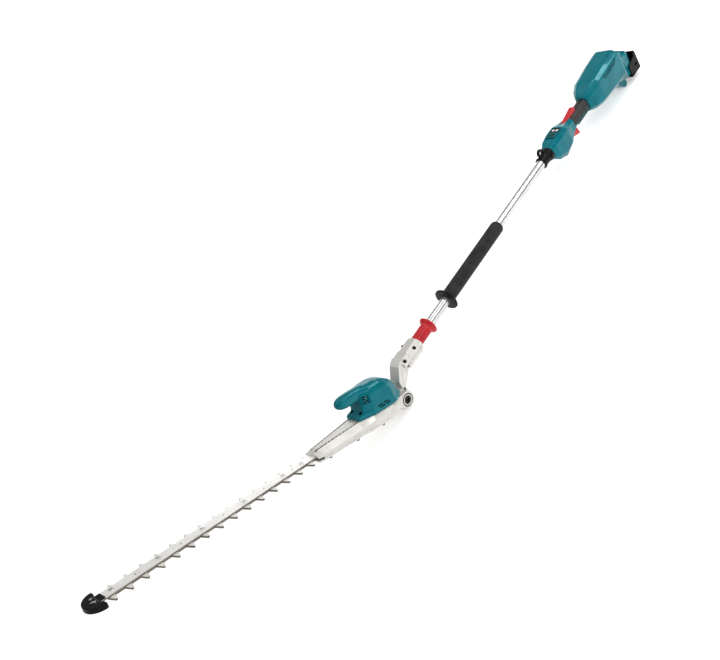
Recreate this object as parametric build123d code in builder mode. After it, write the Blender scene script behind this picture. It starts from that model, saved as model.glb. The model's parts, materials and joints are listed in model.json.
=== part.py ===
from build123d import *
import math
import os

# Pole hedge trimmer with an angled cutting head. Millimetres, +Z up, +X from the handle to the blade,
# +Y to the left. The origin lies on the resting surface, under the middle of the tool's length.
# The tool rests on the foot of its rear housing and on the knuckle of its head pivot.

os.makedirs("parts", exist_ok=True)

# ---- driving dimensions: layout
PIVOT_X = 250.0            # head pivot, along the tool
PIVOT_Z = 27.0             # head pivot above the surface, which is the hub's radius
POLE_RISE = 58.2           # pole axis above the head pivot
POLE_Z = PIVOT_Z + POLE_RISE
HEAD_ANGLE = 23.2          # cutting head turned up from the pole's direction
COS_H = math.cos(math.radians(HEAD_ANGLE))
SIN_H = math.sin(math.radians(HEAD_ANGLE))
WALL = 2.5                 # plastic shells
FIT = 0.05                 # radial clearance of parts that sit in each other
SPAN = 4000.0              # longer than the whole tool, for cuts right through

# ---- driving dimensions: pole, distances are measured back from the head pivot
TUBE_R = 13.25
TUBE_WALL = 1.5
TUBE_START = 66.0
TUBE_END = 900.0
GRIP_START = 287.0
GRIP_END = 557.0
GRIP_R = 19.0
GRIP_SIDES = 12
FLANGE_R = 33.0
SLEEVE_START = 133.5
SLEEVE_END = 198.0
SLEEVE_R = 16.4
SLEEVE_TRAVEL = 20.0

# ---- driving dimensions: cutting head, measured along the blade and up from it
HUB_R = 27.0
HUB_HALF = 16.5
EAR_R = 21.0
EAR_IN = 17.0
EAR_OUT = 30.0
PIVOT_R = 6.0
INDEX_R = 22.5
INDEX_HALF = 2.5
INDEX_STOPS = 13
INDEX_STEP = 11.5
STOPS_ABOVE = 1            # notches between the drawn head angle and the upper limit
MOTOR_T = 62.0             # motor axis ahead of the pivot
MODULE = 1.0
PINION_TEETH = 10
GEAR_TEETH = 54
CRANK_T = MOTOR_T + MODULE * (PINION_TEETH + GEAR_TEETH) / 2
THROW = 8.0                # eccentric throw, half of a blade's stroke
ECC_R = 14.0
CRANK_R = 5.5
YOKE_SLACK = 0.21 * THROW + 0.3
PITCH = 37.5
TOOTH_COUNT = 15
NEAR_TOOTH = 317.6
FAR_TOOTH = 302.9
TOOTH_TIP = 31.0
TOOTH_ROOT = 8.5            # half width of a tooth at the strip
BLADE_HALF = 12.0
BLADE_END = 852.0
BLADE_THICK = 2.3
UPPER_BLADE_N = -4.6       # undersides of the two blades
LOWER_BLADE_N = -7.2
BAR_BOTTOM = -2.0
BAR_TOP = 1.5
BAR_HALF = 14.5
BAR_START = 196.0
BAR_END = 886.0
BOLT_TS = [330.0, 386.0, 498.0, 611.0, 723.0, 836.0]
BAR_HOLE_TS = [358.0, 442.0, 555.0, 667.0, 780.0]
BOLT_R = 3.0
MOUTH_T = 283.0
CASE_SPLIT = -6.0
CASE_BOTTOM = -12.0
CASE_BOLTS = [(99.0, 35.8), (180.0, 30.0), (265.0, 25.2)]


# ---- planes

def station(s):
    """Plane square to the pole, s behind the pivot: local axes are Y and Z, its normal is +X."""
    return Plane(origin=(PIVOT_X - s, 0, POLE_Z), x_dir=(0, 1, 0), z_dir=(1, 0, 0))


def pole_side(y=0):
    """Plane square to Y on the pole axis: local x is -s and local y is the height above the axis."""
    return Plane(origin=(PIVOT_X, y, POLE_Z), x_dir=(1, 0, 0), z_dir=(0, -1, 0))


def pole_level(z):
    """Plane square to Z, z above the pole axis: local x is -s and local y is Y."""
    return Plane(origin=(PIVOT_X, 0, POLE_Z + z), x_dir=(1, 0, 0), z_dir=(0, 0, 1))


def head_level(n):
    """Plane parallel to the blades, n above the pivot: local axes run along the blade and along Y."""
    return Plane(
        origin=(PIVOT_X - n * SIN_H, 0, PIVOT_Z + n * COS_H),
        x_dir=(COS_H, 0, SIN_H),
        z_dir=(-SIN_H, 0, COS_H),
    )


def head_side(y=0):
    """Plane square to Y through the pivot: local axes run along the blade and up from it."""
    return Plane(origin=(PIVOT_X, y, PIVOT_Z), x_dir=(COS_H, 0, SIN_H), z_dir=(0, -1, 0))


def head_station(t):
    """Plane square to the blade, t ahead of the pivot: local axes are Y and up from the blade."""
    return Plane(
        origin=(PIVOT_X + t * COS_H, 0, PIVOT_Z + t * SIN_H),
        x_dir=(0, 1, 0),
        z_dir=(COS_H, 0, SIN_H),
    )


POLE_AXIS = Axis((PIVOT_X, 0, POLE_Z), (1, 0, 0))


# ---- shared shapes

def octagon(top_half, z_top, side_half, z_up, z_down, low_half, z_low, inset=0.0):
    """Eight-sided housing section, symmetric about the middle, drawn in the current sketch."""
    a = top_half - inset * 0.4
    b = side_half - inset
    c = low_half - inset * 0.4
    top = z_top - inset
    low = z_low + inset
    up = z_up - inset * 0.4
    down = z_down + inset * 0.4
    right = [(a, top), (b, up), (b, down), (c, low)]
    left = [(-y, z) for y, z in reversed(right)]
    with BuildLine() as outline:
        Polyline(*right, *left, close=True)
    make_face(outline.edges())


def housing_loft(stations, inset=0.0, mode=Mode.ADD):
    """Ruled skin over octagonal sections, given as rows of s and the section's seven sizes."""
    sections = []
    for s, *sizes in stations:
        with BuildSketch(station(s)) as section:
            octagon(*sizes, inset=inset)
        sections.append(section.sketch.face())
    loft(sections, ruled=True, mode=mode)


def ring(plane, outer, inner, length):
    """Tube on a plane, for bearings, bushes and collars."""
    with BuildSketch(plane) as profile:
        Circle(outer)
        Circle(inner, mode=Mode.SUBTRACT)
    extrude(profile.sketch, amount=length)


def involute_gear(centre_t, teeth, addendum, dedendum, backlash, turn):
    """Outline of a spur gear with 20 degree involute flanks, centred at centre_t."""
    pitch_r = MODULE * teeth / 2
    base_r = pitch_r * math.cos(math.radians(20))
    tip_r = pitch_r + addendum * MODULE
    root_r = pitch_r - dedendum * MODULE
    flat = math.tan(math.radians(20)) - math.radians(20)
    half = math.pi / (2 * teeth) - backlash / (2 * pitch_r) + flat
    radii = [max(base_r, root_r) + (tip_r - max(base_r, root_r)) * k / 3 for k in range(4)]
    flank = [(root_r, half)] if root_r < base_r else []
    for r in radii:
        alpha = math.acos(min(1.0, base_r / r))
        flank.append((r, half - (math.tan(alpha) - alpha)))
    points = []
    for k in range(teeth):
        centre = turn + 2 * math.pi * k / teeth
        turned = [(r, centre - a) for r, a in flank] + [(r, centre + a) for r, a in reversed(flank)]
        points += [(centre_t + r * math.cos(a), r * math.sin(a)) for r, a in turned]
    return points


def save(builder, name):
    """Label a finished piece and write it."""
    builder.part.label = name
    export_step(builder.part, f"parts/{name}.step")


def socket_screw(plane, spots, head_r, head_h, shank_r, shank_len):
    """Cap screws with a hexagon socket: heads stand on the plane, shanks go below it."""
    with BuildSketch(plane) as heads:
        with Locations(*spots):
            Circle(head_r)
    extrude(heads.sketch, amount=head_h)
    with BuildSketch(plane) as shanks:
        with Locations(*spots):
            Circle(shank_r)
    extrude(shanks.sketch, amount=-shank_len)
    with BuildSketch(plane.offset(head_h)) as sockets:
        with Locations(*spots):
            RegularPolygon(head_r * 0.5, 6)
    extrude(sockets.sketch, amount=-head_h * 0.6, mode=Mode.SUBTRACT)


# ======================================================================== pole

with BuildPart() as pole_tube:
    ring(station(TUBE_END), TUBE_R, TUBE_R - TUBE_WALL, TUBE_END - TUBE_START)
save(pole_tube, "pole_tube")

CABLE_R = 3.5
with BuildPart() as motor_cable:
    with BuildSketch(station(TUBE_END - 20)):
        Circle(CABLE_R)
    extrude(amount=TUBE_END - 20 - (TUBE_START + 4))
save(motor_cable, "motor_cable")

# Foam grip: a long twelve-sided tube with rounded ends.
with BuildPart() as front_grip:
    with BuildSketch(station(GRIP_END)):
        RegularPolygon(GRIP_R, GRIP_SIDES)
    extrude(amount=GRIP_END - GRIP_START)
    chamfer(front_grip.faces().sort_by(Axis.X)[0].edges(), 4.0)
    with BuildSketch(station(GRIP_END)):
        Circle(TUBE_R + FIT)
    extrude(amount=GRIP_END - GRIP_START, mode=Mode.SUBTRACT)
save(front_grip, "front_grip")

# Hand stop in front of the foam grip.
with BuildPart() as grip_flange:
    with BuildSketch(pole_side()):
        with BuildLine():
            Polyline(
                (-GRIP_START, TUBE_R + FIT),
                (-GRIP_START, GRIP_R + 1.5),
                (-284.5, FLANGE_R - 2.0),
                (-283.0, FLANGE_R),
                (-280.6, FLANGE_R),
                (-279.4, FLANGE_R - 1.4),
                (-279.4, GRIP_R),
                (-276.5, GRIP_R - 2.5),
                (-276.5, TUBE_R + FIT),
                close=True,
            )
        make_face()
    revolve(axis=POLE_AXIS)
save(grip_flange, "grip_flange")

# Sleeve that is drawn back along the pole to free the head angle.
SLEEVE_BORE = TUBE_R + 0.4
RIB_COUNT = 6
with BuildPart() as release_sleeve:
    with BuildSketch(pole_side()):
        with BuildLine():
            start = (-SLEEVE_START, SLEEVE_BORE)
            outline = Polyline(
                start,
                (-SLEEVE_START, SLEEVE_R - 1.0),
                (-SLEEVE_START - 1.0, SLEEVE_R),
                (-SLEEVE_END + 20.0, SLEEVE_R),
            )
            bell = Spline(outline @ 1, (-SLEEVE_END + 8.0, 19.0), (-SLEEVE_END + 3.0, 25.0))
            Polyline(bell @ 1, (-SLEEVE_END, 25.0), (-SLEEVE_END, SLEEVE_BORE), start)
        make_face()
    revolve(axis=POLE_AXIS)
    for rib in range(RIB_COUNT):
        groove_s = SLEEVE_START + 9.0 + rib * 6.0
        with BuildSketch(station(groove_s + 2.4)):
            Circle(SLEEVE_R + 2)
            Circle(SLEEVE_R - 1.0, mode=Mode.SUBTRACT)
            Rectangle(12.0, 60.0, mode=Mode.SUBTRACT)
        extrude(amount=2.4, mode=Mode.SUBTRACT)
save(release_sleeve, "release_sleeve")

# Return spring in the mouth of the clamp, wound round the pole between the clamp and the sleeve.
SPRING_R = 14.8
SPRING_WIRE = 0.45
with BuildPart() as sleeve_spring:
    for turn in range(4):
        with BuildSketch(pole_side()):
            with Locations((-118.0 - turn * 3.6, SPRING_R)):
                Circle(SPRING_WIRE)
        revolve(axis=POLE_AXIS)
save(sleeve_spring, "sleeve_spring")

# ======================================================================== elbow and clamp

ARM_LEAN = math.atan2(POLE_RISE, 60.0)      # the arm climbs back from the pivot to the clamp
ARM_DIR = (-math.cos(ARM_LEAN), 0, math.sin(ARM_LEAN))
PIN_R = 3.5
PIN_START = 24.2
PIN_END = 52.0
CLAMP_FRONT = 52.0
CLAMP_BACK = 131.0
CLAMP_SCREWS = [(-106.5, 20.5), (-106.5, -20.5), (-62.0, 20.5), (-62.0, -20.5)]
SEAM = 0.0                                  # joint between the arm's clamp and its cap
SCREW_SEAT = 12.0

with BuildPart() as elbow_arm:
    # clamp half above the pole's middle, with crowned top and screw shoulders
    with BuildSketch(station(CLAMP_BACK)):
        with BuildLine():
            Polyline(
                (-26.0, SEAM), (26.0, SEAM), (26.0, 9.0), (22.5, SCREW_SEAT), (17.5, 15.0),
                (11.0, 19.0), (-11.0, 19.0), (-17.5, 15.0), (-22.5, SCREW_SEAT), (-26.0, 9.0),
                close=True,
            )
        make_face()
    extrude(amount=CLAMP_BACK - CLAMP_FRONT)
    # bent arm from the clamp down to the hub
    with BuildSketch(pole_side()):
        with BuildLine():
            Polyline(
                (-86.0, 19.0), (-50.0, 19.0), (-40.0, 13.0), (-28.0, -2.0), (-17.0, -16.0),
                (-14.0, -33.0), (-6.0, -POLE_RISE), (-20.0, -POLE_RISE + 6.0), (-29.0, -38.0),
                (-57.0, -21.0), (-60.0, 0.0), (-86.0, 0.0),
                close=True,
            )
        make_face()
    extrude(amount=HUB_HALF, both=True)
    fillet(elbow_arm.edges().filter_by(Axis.Y).sort_by(Axis.X)[-4:-1], 5.0)
    # web under the pole's end, closing the mouth of the bend
    with BuildSketch(station(62.0)):
        with Locations((0, -8.5)):
            Rectangle(34.0, 17.0)
    extrude(amount=10.0)
    # hub
    with BuildSketch(pole_side()):
        with Locations((0, -POLE_RISE)):
            Circle(HUB_R)
    extrude(amount=HUB_HALF, both=True)
    # pole socket
    with BuildSketch(station(CLAMP_BACK)):
        Circle(TUBE_R + FIT)
    extrude(amount=CLAMP_BACK - TUBE_START + 1.0, mode=Mode.SUBTRACT)
    # mouth for the sleeve and its spring
    with BuildSketch(station(CLAMP_BACK)):
        Circle(SPRING_R + 1.4)
    extrude(amount=16.0, mode=Mode.SUBTRACT)
    # slot for the index ring and bore for the bushes
    with BuildSketch(pole_side()):
        with Locations((0, -POLE_RISE)):
            Circle(INDEX_R + 1.2)
    extrude(amount=INDEX_HALF + 0.5, both=True, mode=Mode.SUBTRACT)
    with BuildSketch(pole_side()):
        with Locations((0, -POLE_RISE)):
            Circle(9.0)
    extrude(amount=HUB_HALF, both=True, mode=Mode.SUBTRACT)
    # bore of the lock pin
    with BuildSketch(Plane(origin=(PIVOT_X, 0, PIVOT_Z), x_dir=(0, 1, 0), z_dir=ARM_DIR)):
        Circle(PIN_R + FIT)
    extrude(amount=PIN_END + 6.5, mode=Mode.SUBTRACT)
    # grooves along the arm's sides
    for y_side in (HUB_HALF, -HUB_HALF):
        with BuildSketch(pole_side(y_side)):
            with BuildLine():
                Polyline((-46.0, 4.0), (-42.0, 7.0), (-23.0, -27.0), (-27.0, -29.0), close=True)
            make_face()
        extrude(amount=1.5, both=True, mode=Mode.SUBTRACT)
    # screw holes
    with BuildSketch(pole_level(SEAM)):
        with Locations(*CLAMP_SCREWS):
            Circle(2.6)
    extrude(amount=SCREW_SEAT + 6.0, mode=Mode.SUBTRACT)
    with BuildSketch(pole_level(SCREW_SEAT - 3.0)):
        with Locations(*CLAMP_SCREWS):
            Circle(4.6)
    extrude(amount=20.0, mode=Mode.SUBTRACT)
save(elbow_arm, "elbow_arm")

with BuildPart() as clamp_cap:
    with BuildSketch(station(CLAMP_BACK - 4.0)):
        with BuildLine():
            Polyline(
                (-26.0, -0.3), (26.0, -0.3), (26.0, -7.0), (21.0, -12.0), (17.0, -19.0),
                (-17.0, -19.0), (-21.0, -12.0), (-26.0, -7.0),
                close=True,
            )
        make_face()
    extrude(amount=CLAMP_BACK - 4.0 - 64.0)
    with BuildSketch(station(104.0)):
        with Locations((0, -18.0)):
            Rectangle(24.0, 7.0)
    extrude(amount=28.0)
    with BuildSketch(station(CLAMP_BACK)):
        Circle(TUBE_R + FIT)
    extrude(amount=CLAMP_BACK, mode=Mode.SUBTRACT)
    with BuildSketch(station(CLAMP_BACK)):
        Circle(SPRING_R + 1.4)
    extrude(amount=16.0, mode=Mode.SUBTRACT)
    with BuildSketch(pole_level(0)):
        with Locations(*CLAMP_SCREWS):
            Circle(2.5)
    extrude(amount=-9.0, mode=Mode.SUBTRACT)
    with BuildSketch(station(66.0)):
        with Locations((0, -24)):
            Rectangle(60, 20)
    extrude(amount=10.0, mode=Mode.SUBTRACT)
save(clamp_cap, "clamp_cap")

with BuildPart() as clamp_bolts:
    socket_screw(pole_level(SCREW_SEAT - 3.0), CLAMP_SCREWS, 4.2, 4.2, 2.4, 15.0)
save(clamp_bolts, "clamp_bolts")

with BuildPart() as lock_pin:
    with BuildSketch(Plane(origin=(PIVOT_X, 0, PIVOT_Z), x_dir=(0, 1, 0), z_dir=ARM_DIR).offset(PIN_START)):
        Circle(PIN_R)
    extrude(amount=PIN_END - PIN_START)
    chamfer(lock_pin.edges().sort_by(Axis.Z)[0], 0.8)
save(lock_pin, "lock_pin")

# Flanged bushes pressed into the hub from both sides.
with BuildPart() as pivot_bushes:
    for sign in (1, -1):
        with BuildSketch(head_side(sign * (INDEX_HALF + 1.0))):
            Circle(9.0)
            Circle(PIVOT_R + FIT, mode=Mode.SUBTRACT)
        extrude(amount=-sign * (HUB_HALF - INDEX_HALF - 1.0))
save(pivot_bushes, "pivot_bushes")

# ======================================================================== handle

# rows: s, top half width, top, side half width, upper edge, lower edge, low half width, low
BOX_STATIONS = [
    (850.0, 13.0, 19.5, 19.5, 10.0, -11.0, 11.0, -20.0),
    (868.0, 20.0, 24.0, 25.5, 14.0, -23.0, 15.0, -37.0),
    (900.0, 23.0, 27.0, 27.5, 15.0, -33.0, 17.0, -49.0),
    (932.0, 21.0, 27.0, 26.5, 14.0, -29.0, 15.0, -44.0),
    (962.0, 11.0, 21.0, 18.5, 11.0, -19.5, 10.0, -33.0),
    (980.0, 8.5, 18.0, 17.5, 9.5, -15.0, 9.0, -27.0),
]
CORE_STATIONS = [
    (980.0, 7.0, 15.0, 16.0, 8.5, -13.5, 8.0, -22.5),
    (1074.0, 7.0, 15.3, 16.2, 8.5, -13.5, 8.0, -22.5),
]
MOULD_STATIONS = [
    (980.3, 8.0, 17.0, 17.8, 9.5, -15.0, 9.0, -24.0),
    (1028.0, 8.0, 16.6, 17.4, 9.5, -15.5, 9.0, -25.0),
    (1067.7, 8.0, 17.3, 18.0, 9.5, -15.0, 9.0, -24.5),
]
TRIGGER_PIVOT = (-965.0, -25.0)
LEVER_PIVOT = (-962.0, 10.0)
TRIGGER_HALF = 6.0
LEVER_HALF = 6.5
BUTTONS = [(-915.0, 6.0), (-915.0, -6.0)]
PANEL_Z = 27.0
HANDLE_SCREWS = [(-937.0, 13.0), (-944.0, -32.0), (-876.0, -25.0), (-1046.0, -12.0)]


def trigger_outline():
    """Side view of the trigger: a bored root and a hooked finger tab."""
    with BuildLine() as outline:
        Polyline(
            (-960.0, -21.0), (-966.0, -19.0), (-990.0, -20.0), (-995.0, -28.0), (-999.0, -45.0),
            (-996.0, -47.5), (-982.0, -42.5), (-966.0, -37.0), (-960.0, -29.0),
            close=True,
        )
    make_face(outline.edges())


def lever_outline():
    """Side view of the lock-off lever: a wedge that rises to the rear."""
    with BuildLine() as outline:
        Polyline(
            (-955.0, 18.5), (-963.0, 21.5), (-1014.0, 29.5), (-1019.0, 28.0), (-1021.0, 17.0),
            (-1003.0, 11.0), (-975.0, 6.0), (-957.0, 6.0),
            close=True,
        )
    make_face(outline.edges())


with BuildPart() as handle_shell:
    housing_loft(BOX_STATIONS)
    housing_loft(CORE_STATIONS)
    housing_loft(BOX_STATIONS, inset=WALL, mode=Mode.SUBTRACT)
    housing_loft(CORE_STATIONS, inset=WALL, mode=Mode.SUBTRACT)
    # collar seat at the front
    with BuildSketch(station(850.0)):
        Circle(TUBE_R + FIT)
    extrude(amount=-10.0, mode=Mode.SUBTRACT)
    # pole's inner support
    with BuildSketch(station(896.0)):
        Rectangle(48.0, 44.0)
        Circle(TUBE_R + FIT, mode=Mode.SUBTRACT)
    extrude(amount=4.0)
    # trigger slot
    with BuildSketch(pole_side()):
        with BuildLine():
            Polyline((-957, -60), (-957, -18), (-1004.5, -18), (-1004.5, -60), close=True)
        make_face()
    extrude(amount=TRIGGER_HALF + 0.5, both=True, mode=Mode.SUBTRACT)
    # lever slot
    with BuildSketch(pole_side()):
        with BuildLine():
            Polyline((-952, 40), (-952, 5), (-1024.5, 5), (-1024.5, 40), close=True)
        make_face()
    extrude(amount=LEVER_HALF + 0.5, both=True, mode=Mode.SUBTRACT)
    # window under the control panel
    with BuildSketch(pole_level(20.0)):
        with Locations((-907.0, 0)):
            Rectangle(36.0, 26.0)
    extrude(amount=12.0, mode=Mode.SUBTRACT)
    # seat of the panel
    with BuildSketch(pole_level(PANEL_Z - 1.6)):
        with Locations((-906.0, 0)):
            RectangleRounded(45.0, 34.0, 3.0)
    extrude(amount=6.0, mode=Mode.SUBTRACT)

with BuildPart() as handle_outer:
    housing_loft(BOX_STATIONS)
    housing_loft(CORE_STATIONS)


def handle_half(keep):
    """One half of the handle: shell, screw bosses, and seats of both pins."""
    with BuildPart() as half:
        with BuildSketch(pole_side()):
            with Locations(TRIGGER_PIVOT, LEVER_PIVOT, *HANDLE_SCREWS):
                Circle(4.5)
        extrude(amount=40.0, both=True)
        add(handle_outer.part, mode=Mode.INTERSECT)
        with BuildSketch(pole_side()):
            Rectangle(SPAN, SPAN)
        extrude(amount=7.4, both=True, mode=Mode.SUBTRACT)
        with BuildSketch(pole_side()):
            with Locations(*HANDLE_SCREWS):
                Circle(4.5)
        extrude(amount=7.4, both=True)
        add(handle_shell.part)
        with BuildSketch(pole_side()):
            with Locations(TRIGGER_PIVOT, LEVER_PIVOT):
                Circle(1.5 + FIT)
        extrude(amount=14.0, both=True, mode=Mode.SUBTRACT)
        with BuildSketch(pole_side()):
            with Locations(*HANDLE_SCREWS):
                Circle(1.6)
        extrude(amount=40.0, both=True, mode=Mode.SUBTRACT)
        with BuildSketch(pole_side(-11.0)):
            with Locations(*HANDLE_SCREWS):
                Circle(3.4)
        extrude(amount=30.0, mode=Mode.SUBTRACT)
        split(bisect_by=Plane.XZ, keep=keep)
    return half


handle_left = handle_half(Keep.BOTTOM)
save(handle_left, "handle_left")
handle_right = handle_half(Keep.TOP)
save(handle_right, "handle_right")

with BuildPart() as handle_screws:
    with BuildSketch(pole_side(-11.0)):
        with Locations(*HANDLE_SCREWS):
            Circle(3.2)
    extrude(amount=2.2)
    with BuildSketch(pole_side(-11.0)):
        with Locations(*HANDLE_SCREWS):
            Circle(1.5)
    extrude(amount=-20.0)
save(handle_screws, "handle_screws")

# Soft overmould on the grip, with a bare strip along each flank.
with BuildPart() as grip_overmold:
    housing_loft(MOULD_STATIONS)
    add(handle_outer.part, mode=Mode.SUBTRACT)
    with BuildSketch(pole_side()):
        with BuildLine():
            Polyline((-979, 45), (-979, 5), (-1024.5, 5), (-1024.5, 45), close=True)
        make_face()
    extrude(amount=LEVER_HALF + 0.5, both=True, mode=Mode.SUBTRACT)
    with BuildSketch(pole_side()):
        with BuildLine():
            Polyline((-979, -10), (-979, -60), (-1004.5, -60), (-1004.5, -10), close=True)
        make_face()
    extrude(amount=30.0, both=True, mode=Mode.SUBTRACT)
    with BuildSketch(pole_side()):
        with Locations((-1036.0, -11.0)):
            Rectangle(58.0, 4.0)
    extrude(amount=30.0, both=True, mode=Mode.SUBTRACT)
save(grip_overmold, "grip_overmold")

with BuildPart() as trigger:
    with BuildSketch(pole_side()):
        trigger_outline()
    extrude(amount=TRIGGER_HALF, both=True)
    fillet(trigger.edges().filter_by(Axis.Y).sort_by(Axis.Z)[:2], 1.5)
    with BuildSketch(pole_side()):
        with Locations(TRIGGER_PIVOT):
            Circle(1.5 + FIT)
    extrude(amount=10.0, both=True, mode=Mode.SUBTRACT)
save(trigger, "trigger")

with BuildPart() as lock_off_lever:
    with BuildSketch(pole_side()):
        lever_outline()
    extrude(amount=LEVER_HALF, both=True)
    fillet(lock_off_lever.edges().filter_by(Axis.Y).sort_by(Axis.Z)[-3:], 1.2)
    with BuildSketch(pole_side()):
        with Locations(LEVER_PIVOT):
            Circle(1.5 + FIT)
    extrude(amount=10.0, both=True, mode=Mode.SUBTRACT)
save(lock_off_lever, "lock_off_lever")


def hinge_pin(place):
    """Steel pin across the handle."""
    with BuildPart() as pin:
        with BuildSketch(pole_side()):
            with Locations(place):
                Circle(1.5)
        extrude(amount=13.5, both=True)
    return pin


save(hinge_pin(TRIGGER_PIVOT), "trigger_pin")
save(hinge_pin(LEVER_PIVOT), "lever_pin")

# Main switch between the two levers.
with BuildPart() as main_switch:
    with BuildSketch(pole_level(-9.0)):
        with Locations((-984.0, 0)):
            Rectangle(30.0, 18.0)
    extrude(amount=11.0)
    with BuildSketch(pole_level(-11.5)):
        with Locations((-990.0, 0)):
            Rectangle(6.0, 5.0)
    extrude(amount=3.0)
save(main_switch, "main_switch")

# Control panel: keypad plate with two buttons and a row of lamps.
with BuildPart() as control_panel:
    with BuildSketch(pole_level(PANEL_Z - 1.5)):
        with Locations((-906.0, 0)):
            RectangleRounded(44.6, 33.6, 2.8)
    extrude(amount=3.7)
    with BuildSketch(pole_level(PANEL_Z + 0.8)):
        with Locations((-914.5, 0)):
            RectangleRounded(23.0, 29.0, 1.5)
        with Locations((-892.0, 0)):
            RectangleRounded(11.0, 24.0, 1.5)
    extrude(amount=3.0, mode=Mode.SUBTRACT)
    with BuildSketch(pole_level(PANEL_Z - 4.0)):
        with Locations(*BUTTONS):
            RectangleRounded(9.0, 8.0, 1.5)
    extrude(amount=8.0, mode=Mode.SUBTRACT)
    with BuildSketch(pole_level(PANEL_Z - 4.0)):
        with Locations((-892.0, -6.0), (-892.0, 0), (-892.0, 6.0)):
            Circle(1.6)
    extrude(amount=8.0, mode=Mode.SUBTRACT)
save(control_panel, "control_panel")


def push_button(place):
    """Button with a flange that keeps it under the panel."""
    with BuildPart() as button:
        with BuildSketch(pole_level(PANEL_Z - 1.9)):
            with Locations(place):
                RectangleRounded(10.4, 9.2, 1.5)
        extrude(amount=-1.2)
        with BuildSketch(pole_level(PANEL_Z - 1.9)):
            with Locations(place):
                RectangleRounded(8.4, 7.4, 1.2)
        extrude(amount=4.1)
        chamfer(button.faces().sort_by(Axis.Z)[-1].edges(), 0.5)
    return button


save(push_button(BUTTONS[0]), "power_button")
save(push_button(BUTTONS[1]), "speed_button")

with BuildPart() as indicator_lamps:
    with BuildSketch(pole_level(PANEL_Z - 3.0)):
        with Locations((-892.0, -6.0), (-892.0, 0), (-892.0, 6.0)):
            Circle(1.5)
    extrude(amount=4.0)
save(indicator_lamps, "indicator_lamps")

with BuildPart() as button_board:
    with BuildSketch(pole_level(20.5)):
        with Locations((-907.0, 0)):
            Rectangle(32.0, 25.0)
    extrude(amount=1.6)
save(button_board, "button_board")

# Collar that holds the pole in the handle.
with BuildPart() as pole_collar:
    with BuildSketch(pole_side()):
        with BuildLine():
            Polyline(
                (-806.0, TUBE_R + FIT), (-806.0, 17.0), (-807.0, 18.0), (-810.5, 18.0),
                (-811.5, 15.8), (-832.0, 16.5), (-842.0, 20.0), (-849.8, 20.5),
                (-849.8, TUBE_R + FIT),
                close=True,
            )
        make_face()
    revolve(axis=POLE_AXIS)
    with BuildSketch(pole_side()):
        with Locations((-840.0, 0)):
            Circle(1.8)
    extrude(amount=-30.0, mode=Mode.SUBTRACT)
save(pole_collar, "pole_collar")

with BuildPart() as collar_screw:
    with BuildSketch(pole_side(TUBE_R + 1.0)):
        with Locations((-840.0, 0)):
            Circle(1.7)
    extrude(amount=-7.0)
    with BuildSketch(pole_side(20.6)):
        with Locations((-840.0, 0)):
            Circle(3.4)
    extrude(amount=-2.4)
save(collar_screw, "collar_screw")

# Eye for the shoulder strap, standing on the collar.
EYE_S = 822.0
EYE_Z = 24.5
EYE_BORE_R = 6.5
EYE_R = 11.5
EYE_HALF = 4.0
with BuildPart() as strap_hanger:
    with BuildSketch(pole_side()):
        with Locations((-EYE_S, EYE_Z)):
            Circle(EYE_R)
        with Locations((-EYE_S, EYE_Z - 10.0)):
            Rectangle(20.0, 8.0)
    extrude(amount=EYE_HALF, both=True)
    with BuildSketch(pole_side()):
        with BuildLine():
            Polyline(
                (-800.0, 0), (-800.0, 18.1), (-811.4, 18.1), (-811.5, 15.9), (-832.0, 16.6),
                (-842.0, 20.1), (-842.0, 0),
                close=True,
            )
        make_face()
    revolve(axis=POLE_AXIS, mode=Mode.SUBTRACT)
    with BuildSketch(pole_side()):
        with Locations((-EYE_S, EYE_Z)):
            Circle(EYE_BORE_R)
    extrude(amount=EYE_HALF, both=True, mode=Mode.SUBTRACT)
save(strap_hanger, "strap_hanger")

# ======================================================================== rear housing

REAR_STATIONS = [
    (1068.0, 8.0, 20.5, 20.0, 12.0, -16.5, 10.0, -26.5),
    (1076.0, 13.0, 28.0, 26.5, 18.0, -18.0, 12.5, -30.5),
    (1090.0, 20.0, 36.0, 35.5, 26.0, -21.0, 18.5, -35.5),
    (1116.0, 26.0, 44.0, 43.0, 33.5, -24.5, 24.5, -41.0),
    (1185.0, 27.0, 50.5, 45.0, 39.0, -26.0, 26.0, -46.0),
    (1248.0, 25.5, 54.5, 45.0, 42.5, -30.0, 26.0, -55.0),
    (1257.0, 22.0, 44.0, 40.0, 31.0, -44.0, 28.0, -59.0),
    (1264.0, 20.0, 27.0, 35.5, 12.0, -52.0, 30.0, -62.0),
    (1287.0, 18.0, 22.0, 35.5, 8.0, -53.0, 30.0, -62.5),
]
REAR_END = 1287.0
REAR_SCREWS = [(-1096.0, -22.0), (-1120.0, 32.0), (-1150.0, -34.0), (-1236.0, 40.0), (-1226.0, -42.0)]
FOOT_HALF = 15.0

with BuildPart() as rear_outer:
    housing_loft(REAR_STATIONS)

with BuildPart() as rear_shell:
    housing_loft(REAR_STATIONS)
    housing_loft(REAR_STATIONS[:-1], inset=WALL, mode=Mode.SUBTRACT)
    # socket that takes the end of the grip core
    with BuildSketch(station(1074.2)):
        octagon(7.1, 15.4, 16.3, 8.6, -13.6, 8.1, -22.6)
    extrude(amount=8.0, mode=Mode.SUBTRACT)
    # foot
    with BuildSketch(pole_side()):
        with BuildLine():
            Polyline(
                (-1214.0, -46.0), (-1254.0, -POLE_Z), (-1264.0, -POLE_Z), (-1270.0, -78.0),
                (-1266.0, -58.0), (-1240.0, -50.0),
                close=True,
            )
        make_face()
    extrude(amount=FOOT_HALF, both=True)
    # three long vent grooves on each flank
    for row in range(3):
        for y_side in (46.0, -46.0):
            with BuildSketch(pole_side(y_side)):
                with Locations((-1182.0, 34.0 - row * 4.2)):
                    SlotOverall(84.0 - row * 8.0, 2.2, rotation=-4.0)
            extrude(amount=6.0, both=True, mode=Mode.SUBTRACT)


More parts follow.
